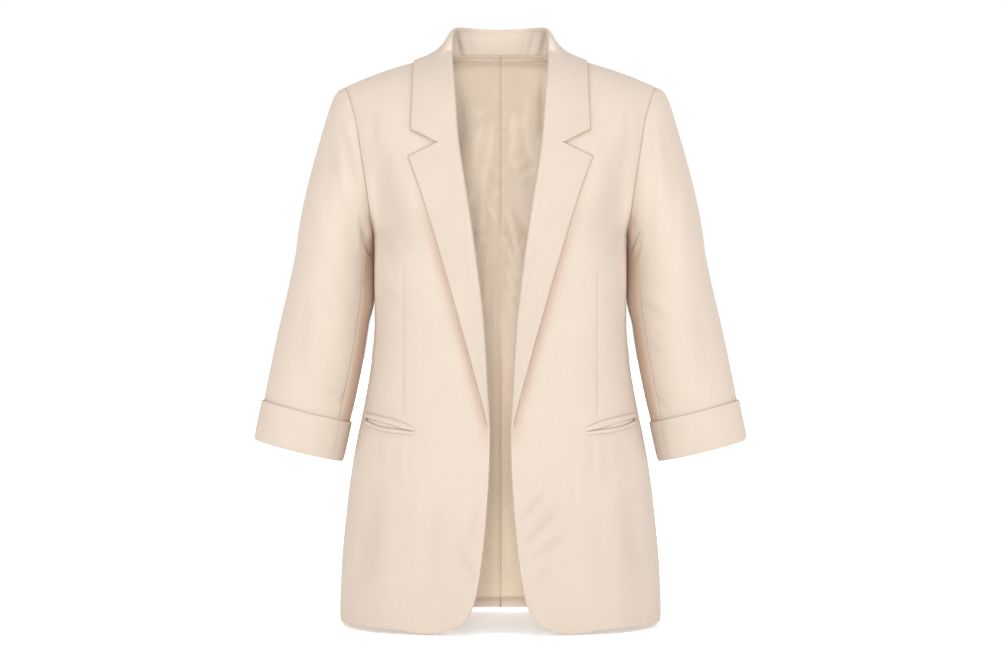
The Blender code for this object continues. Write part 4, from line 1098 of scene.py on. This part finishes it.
# creases as seen from the front, and from behind
sleeveCreases = {
    "left": {
        "front": [
            (183, -86, 188, -150, -0.8, 5), (191, -90, 197, -156, 0.8, 6), (199, -98, 206, -166, -0.7, 6),
            (166, -198, 162, -230, -0.6, 2.6), (171, -226, 160, -254, -1.5, 1.9),
            (174, -240, 163, -272, -1.1, 3.0), (180, -226, 170, -262, 0.8, 4.5),
            (167, -312, 206, -342, -1.3, 6), (174, -334, 200, -356, 0.9, 5),
            (176, -364, 198, -382, -0.9, 5), (187, -428, 208, -450, -1.2, 3.6),
            (184, -440, 200, -460, 0.9, 3.4), (194, -416, 214, -430, 0.6, 5),
            (218, -180, 224, -300, 1.0, 13), (236, -300, 250, -420, -1.0, 13),
            (206, -350, 218, -440, 0.7, 11),
        ],
        "back": [
            (178, -110, 206, -180, -1.2, 7), (166, -170, 182, -262, 1.3, 7),
            (172, -236, 168, -290, -1.6, 5), (170, -330, 232, -352, -2.2, 7),
            (176, -352, 240, -378, 1.4, 7), (180, -376, 226, -392, -1.6, 6),
            (230, -200, 248, -320, 1.0, 13), (196, -424, 236, -440, -1.0, 6),
        ],
    },
    "right": {
        "front": [
            (199, -88, 170, -180, -1.9, 5.5), (203, -102, 180, -184, 1.1, 5),
            (211, -116, 190, -206, -1.5, 6), (171, -210, 166, -250, -1.6, 3.2),
            (167, -244, 157, -262, -2.4, 3), (177, -218, 172, -258, 1.4, 4), (163, -208, 159, -242, 1.0, 3),
            (160, -260, 169, -302, -1.1, 4), (210, -268, 176, -338, -0.8, 7),
            (220, -296, 202, -340, -0.6, 7), (198, -338, 188, -362, 1.0, 5),
            (199, -448, 187, -420, -1.3, 3.6), (207, -456, 190, -438, 0.9, 3.4),
            (216, -436, 196, -422, -0.8, 4.5), (213, -178, 216, -290, 1.0, 13),
            (234, -300, 248, -420, -1.0, 13),
        ],
        "back": [
            (182, -104, 208, -170, -1.3, 7), (168, -176, 186, -254, 1.2, 7),
            (174, -230, 166, -286, -1.5, 5), (172, -322, 228, -348, -2.0, 7),
            (174, -346, 236, -366, 1.5, 7), (184, -372, 232, -396, -1.5, 6),
            (226, -190, 246, -310, 1.0, 13), (200, -430, 240, -446, -1.1, 6),
        ],
    },
}


def ringPoint(level, turn, spread=0.0):
    # a point of the sleeve's ring; the turn starts on the outside and goes round the front
    levels = [-value for value in sleeve["level"]]
    x, y, halfWidth, halfDepth, tilt = (
        smoothCurve(levels, sleeve[name], -np.asarray(level, float))
        for name in ("centreX", "centreY", "halfWidth", "halfDepth", "tilt")
    )
    turn, lean = np.radians(turn), np.radians(tilt)
    across, forward = (halfWidth + spread) * np.cos(turn), (halfDepth + spread) * np.sin(turn)
    place = (x + across * np.cos(lean), y - forward, level + across * np.sin(lean))
    return np.stack(np.broadcast_arrays(*place), axis=-1) * mm


def fromSeam(turn, seam, perDegree):
    # millimetres round the arm from one of its two seams
    return np.abs((turn - sleeve[seam] + 180) % 360 - 180) * perDegree


def armholePoint(turn):
    turn = np.mod(turn, 360)
    front = armholeStation("front", np.minimum(turn, 180) / 180)
    back = armholeStation("back", np.minimum(360 - turn, 180) / 180)
    onFrontSide = (turn <= 180)[..., None]
    return np.where(onFrontSide, bodyPoint(armholeTurn("front", front), front),
                    bodyPoint(armholeTurn("back", back), back))


def capPoint(turn, share):
    # from the armhole seam to the first full ring, with the fullness of the head
    top = sleeve["level"][0]
    start, end = armholePoint(turn), ringPoint(top, turn)
    ahead = ringPoint(top - 10, turn) - end
    reach = np.linalg.norm(end - start, axis=-1, keepdims=True)
    cosine, sine = np.cos(np.radians(turn))[..., None], np.sin(np.radians(turn))[..., None]
    leave = unit(end - start + np.array([0.25, 0, 0]) * reach * np.maximum(-cosine, 0)) * reach
    arrive = unit(ahead) * reach
    t = share[..., None]
    point = (2 * t**3 - 3 * t**2 + 1) * start + (t**3 - 2 * t**2 + t) * leave
    point = point + (3 * t**2 - 2 * t**3) * end + (t**3 - t**2) * arrive
    fullness = (0.5 + 0.5 * cosine) ** 0.8
    rise = sleeve["headRise"] + sleeve["sideRise"] * sine**2
    lift = sleeve["headLift"] * fullness * (1 - np.exp(-t * reach / mm / rise)) * (1 - t**2)
    sideways = np.concatenate([cosine, -0.7 * sine, np.full_like(cosine, 0.3)], axis=-1)
    return point + lift * mm * unit(sideways)


def foldHeight(ring, turn):
    height = np.zeros(np.broadcast(ring, turn).shape)
    wide = 20  # one ring counts as much as this many degrees
    for ring0, turn0, ring1, turn1, rise, breadth in sleeveFolds:
        away, share = awayFromLine(ring * wide, turn, ring0 * wide, turn0, ring1 * wide, turn1)
        height += rise * np.sin(math.pi * (0.15 + 0.7 * share)) * bell(away, breadth * 1.6)
    return height


def armNormals(net):
    # away from the middle of each ring
    return outward(gridNormals(net, ringed=True), net - net.mean(axis=1, keepdims=True))


def sleeveNet(turns, rings):
    # rings 0 to 8 are the cap, from the armhole seam to the first full ring, and the rest the arm
    turn, ring = np.meshgrid(turns, rings)
    cap = capPoint(turn, np.clip(ring / sleeve["capRings"], 0, 1))
    top, end = sleeve["level"][0], sleeve["level"][-1]
    arm = ringPoint(top + ramp(ring, sleeve["capRings"], sleeve["armRings"]) * (end - top), turn)
    net = np.where((ring <= sleeve["capRings"])[..., None], cap, arm)
    height = foldHeight(ring, np.mod(turn, 360))
    return restBySide(net + (height * mm)[..., None] * armNormals(net), turn), turn


def restBySide(net, turn):
    # below the underarm the sleeve hangs just clear of the side of the body
    inmost = np.argmin(np.abs(turn[0] - 180))
    innerX, innerLevel = net[:, inmost, 0] / mm, net[:, inmost, 2] / mm
    side = readLine({"z": bodyForm["front"]["level"], "x": bodyForm["front"]["halfWidth"]}, innerLevel)
    apart = np.maximum(innerX - side - sleeve["clearOfSide"], 0)
    fade = ramp(innerLevel, -345, 38) * ramp(innerLevel, -240.4, -3)
    push = (apart * fade * fade * (3 - 2 * fade))[:, None] * bell(np.abs(turn - 180), 34)
    return net - (push * mm)[..., None] * np.array([1, 0, 0])


def buildSleeve(side):
    half, name = sleeve, sideName(side)
    frontSeam, backSeam = half["frontSeam"], half["backSeam"]
    underTurns = shares(half["underWidth"], half["spacing"]) * (backSeam - frontSeam) + frontSeam
    topTurns = shares(half["topWidth"], half["spacing"]) * (frontSeam + 360 - backSeam) + backSeam - 360
    turns = np.concatenate([topTurns, underTurns[1:-1]])
    capEnd, armEnd = half["capRings"], half["capRings"] + half["armRings"]
    capRings = np.linspace(0.56, capEnd, half["capRows"])
    rings = np.concatenate([half["seamRings"], capRings, np.linspace(capEnd, armEnd, half["armRows"])[1:]])
    net, turn = sleeveNet(turns, rings)
    x, z = frontView(net)
    depth = 0
    for view, steep in (("front", 3), ("back", -3)):  # how sharply they end at the arm's outline
        height = creaseHeight(x, z, sleeveCreases[name][view], half["creaseStrength"])
        depth = depth - height * np.clip(np.sin(np.radians(turn)) * steep, 0, 1)
    seamTop = edgeDistances(net)["top"]
    depth *= 1 - bell(seamTop, plainBySeam)
    # the warm shade between arm and body widens downward from the armhole
    wrapped = np.mod(turn, 360)
    fromTop = np.interp(-z, half["shadeDown"], (*half["shadeTurns"], frontSeam))
    inward = ramp(wrapped, fromTop, 10) * (wrapped < half["shadeEnd"]) * ramp(z, *half["shadeTop"])
    shown = ramp(z, *half["seamShown"])
    # painted shade in the creases' troughs, and painted light beside the body
    paintedShadeAndLight = paintedTroughShade(-depth, 3.5) * (1 - 0.7 * inward)
    paintedShadeAndLight = paintedShadeAndLight - half["underPaintedLight"] * inward * (0.8 + ramp(wrapped, *half["nearBody"]))
    fromFront, fromBack = (fromSeam(turn, seam, half["perDegree"]) for seam in ("frontSeam", "backSeam"))
    seams = bell(fromFront, half["seamBreadth"]) * (0.2 + 0.8 * shown) + bell(fromBack, half["seamBreadth"])
    atArmhole = bell(seamTop, half["seamBreadth"])
    depth += half["seamSink"] * np.minimum(seams, 1) * (1 - atArmhole)
    # the sleeve head is eased into the armhole, which leaves faint dimples below the seam
    easing = np.clip(np.cos(np.radians(turn)) + 0.35, 0, 1)
    dimples = pucker(turn * half["perDegree"], seamTop - 7, *half["headPucker"])
    depth += easing * dimples * (1 - bell(seamTop, 2))
    gathers = pucker(seamTop, fromFront, *half["frontPucker"])
    depth += (gathers + pucker(seamTop + 9, fromBack, *half["backPucker"])) * (1 - atArmhole)
    net = laidOn(net, armNormals(net), -depth, half["seamSink"] * atArmhole)
    normals = armNormals(net)
    # painted warm shade along the seams and the armhole seam, and between arm and body
    paintedShade = strongest(
        0.6 * np.maximum(bell(fromFront, 0.9) * shown, bell(fromBack, 0.9)), 0.65 * bell(seamTop, 1.0),
        inward * np.maximum(half["underPaintedShade"] * ramp(z, -222, -30, 0.35), np.clip(depth / 1.6, 0, 0.9)),
    )
    split = len(topTurns)
    for kind, columns, flat, area in (
        ("top_sleeve", np.arange(split), half["topFlat"], half["topArea"]),
        ("under_sleeve", np.r_[split - 1, split : len(turns), 0], half["underFlat"], half["underArea"]),
    ):
        outer = drawIn(net[:, columns].copy(), ("left", "right", "top"))
        piece = clothWall(
            f"{kind}_shell_{name}", outer, normals[:, columns], half["clothThickness"], suiting, side,
            paintedShade[:, columns], paintedShadeAndLight[:, columns], 0.0,
        )
        declare(piece, f"{kind}_{name}")


cuff = {
    # up the outside, round the fold and back between cuff and sleeve: height over the sleeve's end, spread
    "height": [45.2, 44, 38, 30, 23, 15, 8, 3, 0, -1.6, -2.7, -3.2, -2.8, -1.8, -0.4, -0.4, 10, 23, 38,
               45.2, 46, 46],
    "spread": [2.6, 2.8, 2.9, 2.95, 3.0, 3.0, 2.95, 2.8, 2.5, 1.9, 1.0, 0.2, -0.7, -1.3, -1.5, 0.5, 0.8,
               0.9, 0.8, 0.7, 1.1, 1.9],
    "spacing": 2.4,
    "columns": 132,
    "perDegree": 0.9,
    "pucker": (19, 0.25, 9),
    "seamSink": 0.4,
    "seamPaintedShade": 0.35,
    "underPaintedShade": 0.45,
    "underPaintedLight": 1.4,
    "flat": (0.322, 0.052),
    "area": 0.0162,
}


def buildCuff(side):
    name = sideName(side)
    height, spread = [], []
    points = list(zip(cuff["height"], cuff["spread"]))
    for (h0, s0), (h1, s1) in zip(points, points[1:] + points[:1]):
        steps = max(1, round(math.hypot(h1 - h0, s1 - s0) / cuff["spacing"]))
        for i in range(steps):
            height.append(h0 + (h1 - h0) * i / steps)
            spread.append(s0 + (s1 - s0) * i / steps)
    height, spread = np.array(height)[:, None], np.array(spread)[:, None]
    turns = np.linspace(0, 360, cuff["columns"], endpoint=False)[None]
    outside = ramp(spread, 1.2, 0.6)
    fromFront, fromBack = (fromSeam(turns, seam, cuff["perDegree"]) for seam in ("frontSeam", "backSeam"))
    wave = 0.35 * np.sin(np.radians(turns * 3 + 40 * side)) + 0.2 * np.sin(np.radians(turns * 7 - 60 * side))
    seams = bell(fromFront, 1.6) + bell(fromBack, 1.6)
    grown = spread + outside * (wave * (0.4 + height / 60) - cuff["seamSink"] * seams)
    grown = grown + outside * pucker(turns * cuff["perDegree"], height - 2, *cuff["pucker"])
    rings = ringPoint(sleeve["level"][-1] + height + 0 * turns, turns + 0 * height, grown)
    # painted warm shade along the cuff's seams, on its inner side and in the gap at its top, and painted
    # light on its inner side
    inward = outside * ramp(turns, sleeve["frontSeam"] + 4, 24) * (turns < sleeve["shadeEnd"])
    paintedShade = strongest(
        cuff["seamPaintedShade"] * outside * np.maximum(bell(fromFront, 1.0), bell(fromBack, 1.0)),
        cuff["underPaintedShade"] * inward, np.where((height > 44.5) & (spread < 1.5), 0.8, 0),
    )
    piece = tubePiece("cuff_shell_" + name, rings, suiting, side, paintedShade, -cuff["underPaintedLight"] * inward)
    declare(piece, "cuff_" + name)


# lapels and collar

def lapelRow(share):
    # the lapel's middle, from inside its roll to its outer edge
    roll, edge = lapel["roll"], lapel["edge"]
    rollZ = roll["z"][0] + share * (roll["z"][-1] - roll["z"][0])
    pointZ = edge["z"][0] + share * (edge["z"][-1] - edge["z"][0])
    rollX, edgeX = readLine(roll, rollZ), readLine(edge, pointZ)
    width = math.hypot(edgeX - rollX, pointZ - rollZ)
    settle = ramp(share, *lapel["dieAway"]) ** 0.8
    above = ramp(rollZ, *lapel["edgeOut"])
    rollRise = 1.0 + (np.interp(share, (0, 1), lapel["rollRise"]) - 1.0) * settle
    edgeRise = 0.8 + (np.interp(share, (0, 1), lapel["edgeRise"]) - 0.8) * settle
    lift, *part = lapel["lift"]
    stand = lift * math.sin(math.pi * ramp(share, *part)) ** 2
    bend = min(lapel["rollTurn"], 0.6 * width)
    start = 0.8 - 2.2 * above
    profile = [(bend / 4, start), (bend / 4, start + 0.5 * (rollRise - start)), (bend / 2, 0.85 * rollRise)]
    profile.append((bend, rollRise))
    for step in (0.2, 0.4, 0.6, 0.8, 1.0):
        rise = edgeRise + (rollRise - edgeRise) * (1 - step) ** 2 + stand * step**2
        profile.append((bend + (width - bend) * step, rise))
    out, rise = np.array(profile).T
    out = out / width
    return onFront(rollX + out * (edgeX - rollX), rollZ + out * (pointZ - rollZ), rise)


def buildLapel(side):
    name = sideName(side)
    places = np.concatenate([lapel["topPlaces"], np.linspace(0.02, lapel["end"], lapel["rows"])])
    middle = finerRow(np.stack([lapelRow(share) for share in places]), lapel["steps"])
    last = middle[:, -1:] - middle[:, -2:-1]
    fine = [middle[:, -1:] - last * part for part in (0.75, 0.5, 0.25)]
    middle = np.concatenate([middle[:, :-1], *fine, middle[:, -1:]], axis=1)
    middle[0] += 0.03 * mm * unit(middle[3] - middle[0])
    normals = outward(gridNormals(middle), towardsFront)
    away = edgeDistances(middle)
    beyondNotch = ramp(away["left"], *lapel["notchAt"])
    turned = np.minimum(bell(away["right"], 2.2) + 0.6 * bell(away["top"], 1.6) * beyondNotch, 1)
    thin = ramp(places, 1, -0.12, 0.4)[:, None] * lapel["thickness"]
    outer = middle + ((thin / 2 * (1 - 0.3 * turned)) * mm)[..., None] * normals
    thickness = thin * (1 - 0.35 * turned)
    free = np.where(away["top"] < 1, beyondNotch, 1) * 0.5
    # painted shade along the lapel's outer edge, fading low down, and along its top past the notch
    fade = ramp(middle[..., 2] / mm, *lapel["edgeFade"])
    paintedShade = 0.8 * np.maximum(bell(away["right"], 0.9) * fade, bell(away["top"], 0.9) * beyondNotch)
    piece = clothWall(
        "lapel_shell_" + name, outer, normals, thickness, suiting, side, paintedShade, lapel["shade"], free
    )
    declare(piece, "lapel_" + name)


collar = {
    "along": neckline["along"],
    "foldX": [0, 22, 41, 53, 58.8, 60.5, 61, 60.6, 59.7, 58, 55.2, 50.6],
    "foldY": [71, 69.5, 61.5, 46, 27, 8, -10, -29, -45, -65, -84, -105],
    "foldZ": [34, 34.5, 35, 33.5, 28, 20.5, 12, 0, -14, -34, -62, -114],
    "edgeX": [0, 30, 56, 79, 94, 102, 105.5, 106.5, 107, 107, 106.8, 106.4],
    "edgeStation": [-4.3, -4.3, -4.15, -3.7, -2.7, -1.4, -0.1, 1.1, 2, 2.9, 3.8, 5],
    "swell": [1.5, 1.2, 0.5, -1, -3.5, -4.5, -4, -2, 0, 1.2, 1.6, 1.6],
    "foldRadius": 2.4,
    "fallRise": 2.2,
    "fallParts": (0, 0.2, 0.405, 0.6, 0.8, 1),
    "fallStart": 7,
    "restStart": 0.76,
    "notchStart": 0.86,
    "notchAt": (46, 4),
    "notchPart": 0.405,
    "notchOut": 26.5,
    "point": (108, -109),
    "gorgeOut": [1.0, 1.0, 1.0, 1.05, 1.3, 2.0, 3.4],
    "gorgeRise": [-1.4, -0.7, 0.0, 0.8, 1.6, 2.4, 2.9],
    "fallOut": 5.5,
    "thickness": 1.9,
    "rowsHalf": 74,
    "endPlaces": [0.98, 0.988, 0.994, 0.998, 1],  # rows close together at its end
    "steps": (3, 3, 3, 2, 3, 3, 2, 5, 5, 5, 5, 7),  # parts of each span, from the stand to the outer edge
    # x, depth and breadth of each dent inside the stand
    "standDents": [(37, 0.8, 2.6), (52, 1.6, 3), (28, 0.3, 4), (-51, 1.8, 3), (-38, 0.3, 4)],
    "standPaintedLight": 2.1,
    "shade": 0.3,
    "flat": (0.616, 0.103),
    "area": 0.0478,
}


def foldPoint(place):
    place = np.clip(place, 0, 1)
    return np.stack([readAlong(collar, key, place) for key in ("foldX", "foldY", "foldZ")], axis=-1) * mm


def collarSection(place):
    # up the stand, over the fold and down the fall, for an array of places
    neck = bodyPoint(*signedPlace(*(readAlong(neckline, key, place) for key in ("x", "station"))))
    fold = foldPoint(place)
    line = unit(foldPoint(place + 0.02) - foldPoint(place - 0.02))
    turn, station = signedPlace(*(readAlong(collar, key, place) for key in ("edgeX", "edgeStation")))
    edge = bodyPoint(turn, station) + collar["fallRise"] * mm * bodyNormal(turn, station)
    swell = readAlong(collar, "swell", place)[:, None] * mm * unit(np.cross(line, edge - fold))
    fall = [fold + (edge - fold) * part + swell * math.sin(math.pi * part) for part in collar["fallParts"]]
    standWay, fallWay = unit(fold - neck), unit(fall[2] - fold)
    up = squareTo(line, standWay - fallWay)
    out = squareTo(up, squareTo(line, standWay + fallWay))
    radius = np.minimum(collar["foldRadius"] * mm, np.linalg.norm(fold - neck, axis=1) * 0.4)[:, None]
    middle = fold - radius * up
    base = neck + 0.9 * mm * standWay
    row = [base + (middle - radius * out - base) * part for part in (0, 0.35, 0.7, 1)]
    row += [middle + radius * (0.75 * up - 0.7 * out), fold, middle + radius * (0.75 * up + 0.7 * out)]
    bulge = middle + radius * out - fold
    row += [point + bulge * (1 - part) for point, part in zip(fall, collar["fallParts"])]
    return np.stack(row, axis=1)


def gorgeRow():
    # the collar's end: over the roll line, along the gorge to the notch, then out to the collar's point
    start = np.array([rollLine["x"][0], rollLine["z"][0]])
    gorge = unit(np.array([lapel["edge"]["x"][0], lapel["edge"]["z"][0]]) - start)
    flat = [start + out * gorge for out in collar["gorgeOut"]]
    rises = list(collar["gorgeRise"])
    first, notch = start + collar["fallOut"] * gorge, start + collar["notchOut"] * gorge
    for part in collar["fallParts"]:
        if part <= collar["notchPart"]:
            flat.append(first + (notch - first) * part / collar["notchPart"])
        else:
            beyond = (part - collar["notchPart"]) / (1 - collar["notchPart"])
            flat.append(notch + (np.array(collar["point"]) - notch) * beyond)
        rises.append(collar["fallRise"] + (collar["gorgeRise"][-1] - collar["fallRise"]) * (1 - part) ** 2)
    return onFront(*np.array(flat).T, np.array(rises))


def buildCollar():
    half = np.concatenate([np.linspace(0, 0.97, collar["rowsHalf"]), collar["endPlaces"]])
    rows = collarSection(half)
    share = np.maximum(half - collar["notchStart"], 0) / (1 - collar["notchStart"])
    rows = rows + (share**2)[:, None, None] * (gorgeRow() - collarSection(np.array([1.0]))[0])[None]
    fall = rows[:, collar["fallStart"] :]
    rest = onFront(fall[..., 0] / mm, fall[..., 2] / mm, np.full(fall.shape[:2], collar["fallRise"]))
    onChest = (half >= collar["restStart"])[:, None]
    fall[..., 1] = np.where(onChest, np.minimum(fall[..., 1], rest[..., 1]), fall[..., 1])
    rows = finerRow(rows, collar["steps"])
    last = rows[:, -1:] - rows[:, -2:-1]
    rows = np.concatenate([rows[:, :-1], *(rows[:, -1:] - part * last for part in (0.6, 0.3, 0))], axis=1)
    rows[-1] += 0.05 * mm * unit(rows[-4] - rows[-1])
    middle = np.concatenate([rows[:0:-1] * np.array([-1, 1, 1]), rows])
    normals = gridNormals(middle)
    if normals[len(middle) // 2, 2, 1] > 0:
        normals = -normals  # inside the stand, behind the neck, it faces the front
    away = edgeDistances(middle)
    # faint creases inside the stand, and a hollow where the fall bends over the shoulder
    x, y = middle[..., 0] / mm, middle[..., 1]
    lean = x - 0.25 * (away["left"] - 14) * np.sign(x)
    dents = sum(depth * bell(lean - place, breadth) for place, depth, breadth in collar["standDents"])
    dent = bell(away["left"] - 14, 16) * (y > 0.0) * dents
    glow = collar["standPaintedLight"] * bell(np.maximum(away["left"] - 24, 0), 8) * (y > -0.04)
    # painted shade over the whole collar and in the stand's dents, and painted light on the stand
    paintedShadeAndLight = collar["shade"] + 2 * dent - glow
    middle = middle - (dent * mm)[..., None] * normals
    beyondNotch = ramp(away["left"], *collar["notchAt"])
    ends = bell(away["top"], 1.0) + bell(away["bottom"], 1.0)
    turned = np.minimum(bell(away["right"], 2.0) + 0.7 * ends * beyondNotch, 1)
    outer = middle + collar["thickness"] / 2 * mm * normals * (1 - 0.3 * turned)[..., None]
    thickness = collar["thickness"] * (1 - 0.35 * turned)
    # painted shade along the collar's edges
    paintedShade = strongest(0.9 * bell(away["right"], 0.9), 0.4 * bell(away["left"], 0.8),
                     0.9 * beyondNotch * np.minimum(ends, 1))
    free = np.where(np.minimum(away["top"], away["bottom"]) < 1, beyondNotch, 1) * 0.5
    piece = clothWall("collar_shell", outer, normals, thickness, suiting, 1, paintedShade, paintedShadeAndLight, free)
    declare(piece, "collar")


# pocket welts

welt = {
    "thickness": 1.1,
    "rise": 1.1,
    "swell": 0.5,
    "columns": 64,
    "rows": 9,
    "upperFlat": (0.089, 0.010),
    "upperArea": 0.00056,
    "lowerFlat": (0.086, 0.010),
    "lowerArea": 0.0004,
}


def buildWelts(side):
    name = sideName(side)
    x = np.linspace(pocket["x"][0], pocket["x"][-1], welt["columns"])
    read = {key: smoothCurve(pocket["x"], pocket[key], x)[:, None] for key in pocket if key != "x"}
    part = np.linspace(0, 1, welt["rows"])[None]
    settle = ramp(x, pocket["x"][0], 14)[:, None] ** 0.7  # they die away at the front end
    fullness = np.sin(math.pi * part) * welt["swell"]
    thickness = welt["thickness"] * (0.45 + 0.55 * settle)
    for kind, top, bottom, folded, seam in (
        ("upper", read["upperSeam"], read["upperEdge"], part, "left"),
        ("lower", read["slit"] - 0.4, read["lowerSeam"], 0.35 * (1 - part), "right"),
    ):
        lift = welt["rise"] * (0.3 + 0.7 * settle) + (fullness + read["gape"] * folded) * settle
        middle = onFront(x[:, None] + 0 * part, top + (bottom - top) * part, lift)
        normals = outward(gridNormals(middle), towardsFront)
        away = edgeDistances(middle)[seam]
        outer = middle + ((thickness / 2 - 0.5 * settle * bell(away, 1.0)) * mm)[..., None] * normals
        # painted shade along the welt's sewn edge
        piece = clothWall(
            f"welt_{kind}_shell_{name}", outer, normals, thickness, suiting, side,
            0.5 * settle * bell(away, 0.8), 0.0, 0.6,
        )
        declare(piece, f"welt_{kind}_{name}")


for side in (1, -1):
    buildFront(side)
    buildBack(side)
    buildLining(side)
    buildSleeve(side)
    buildCuff(side)
    buildLapel(side)
    buildWelts(side)
    print(sideName(side), "half sewn")
buildCollar()
print("collar set on")


# studio

# places and reaches in metres, the floor's level in millimetres
studio = {
    "floorLevel": -717,
    "floorReach": 30,
    "floorColour": "#FFFFFF",
    "floorGlow": (0.34, 0.75),  # a lit white floor, near the garment and far off, keeps its shadows light
    "glowReach": (0.7, 2.4),  # metres from the middle
    "roomLight": 0.61,  # what the white room gives the cloth
    "backdrop": 1.0,  # how white the room looks behind it
    "lamps": {
        "front": {"place": (-0.1, -2.9, -0.02), "width": 0.5, "height": 1.1, "watts": 33},
        "left": {"place": (-2.2, -1.6, 1.1), "width": 1.0, "height": 1.4, "watts": 19},
        "right": {"place": (2.2, -1.6, 0.9), "width": 1.0, "height": 1.4, "watts": 20},
        "top": {"place": (0, -0.9, 2.2), "width": 1.2, "height": 1.2, "watts": 20},
        "rear": {"place": (0.3, 3.0, 0.4), "width": 1.4, "height": 1.4, "watts": 36},
    },
    "lampTarget": (0, 0, -0.36),
    "camera": {"place": (0.0044, -2.6, -0.358), "lens": 74.29},
}


def aimed(lamp, target):
    x, y, z = np.array(target) - np.array(lamp.location)
    lamp.rotation_euler = (math.atan2(math.hypot(x, y), -z), 0, math.atan2(y, x) - math.pi / 2)


def buildStudio():
    size, level = studio["floorReach"], studio["floorLevel"] * mm
    mesh = bpy.data.meshes.new("floor")
    corners = [(-size, -size, level), (size, -size, level), (size, size, level), (-size, size, level)]
    mesh.from_pydata(corners, [], [(0, 1, 2, 3)])
    floor = bpy.data.objects.new("floor", mesh)
    bpy.context.collection.objects.link(floor)
    # a roll of uncoated paper: dead matt, so that nothing is mirrored in it
    finish, tree = newFinish("paleSeamlessPaper")
    white = hexLinear(studio["floorColour"])
    place = addNode(tree, "ShaderNodeTexCoord")
    away = addNode(tree, "ShaderNodeVectorMath", {0: place.outputs["Object"]}, operation="LENGTH")
    (near, far), (least, most) = studio["glowReach"], studio["floorGlow"]
    fade = {"Value": away.outputs["Value"], "From Min": near, "From Max": far}
    glow = addNode(tree, "ShaderNodeMapRange", {**fade, "To Min": least, "To Max": most})
    paper = {"Base Color": white, "Roughness": 0.9, "Specular IOR Level": 0.1, "Emission Color": white,
             "Emission Strength": glow.outputs["Result"]}
    shader = addNode(tree, "ShaderNodeBsdfPrincipled", paper)
    out = addNode(tree, "ShaderNodeOutputMaterial")
    tree.links.new(shader.outputs["BSDF"], out.inputs["Surface"])
    mesh.materials.append(finish)
    world = bpy.data.worlds.new("whiteRoom")
    world.use_nodes = True
    tree = world.node_tree
    path = addNode(tree, "ShaderNodeLightPath")
    room = {"To Min": studio["roomLight"], "To Max": studio["backdrop"]}
    strength = addNode(tree, "ShaderNodeMapRange", {"Value": path.outputs["Is Camera Ray"], **room})
    background = tree.nodes["Background"]
    background.inputs["Color"].default_value = white
    tree.links.new(strength.outputs["Result"], background.inputs["Strength"])
    scene = bpy.context.scene
    scene.world = world
    for name, setting in studio["lamps"].items():
        light = bpy.data.lights.new(name, "AREA")
        light.shape = "RECTANGLE"
        light.size, light.size_y = setting["width"], setting["height"]
        light.energy = setting["watts"]
        lamp = bpy.data.objects.new(name, light)
        lamp.location = setting["place"]
        lamp.visible_camera = False
        bpy.context.collection.objects.link(lamp)
        aimed(lamp, studio["lampTarget"])
    view = bpy.data.cameras.new("camera")
    view.lens = studio["camera"]["lens"]
    view.sensor_width = 36
    camera = bpy.data.objects.new("camera", view)
    camera.location = studio["camera"]["place"]
    camera.rotation_euler = (math.pi / 2, 0, 0)
    bpy.context.collection.objects.link(camera)
    scene.camera = camera
    scene.view_settings.view_transform = "Standard"
    scene.view_settings.look = "None"


buildStudio()
print("studio set")
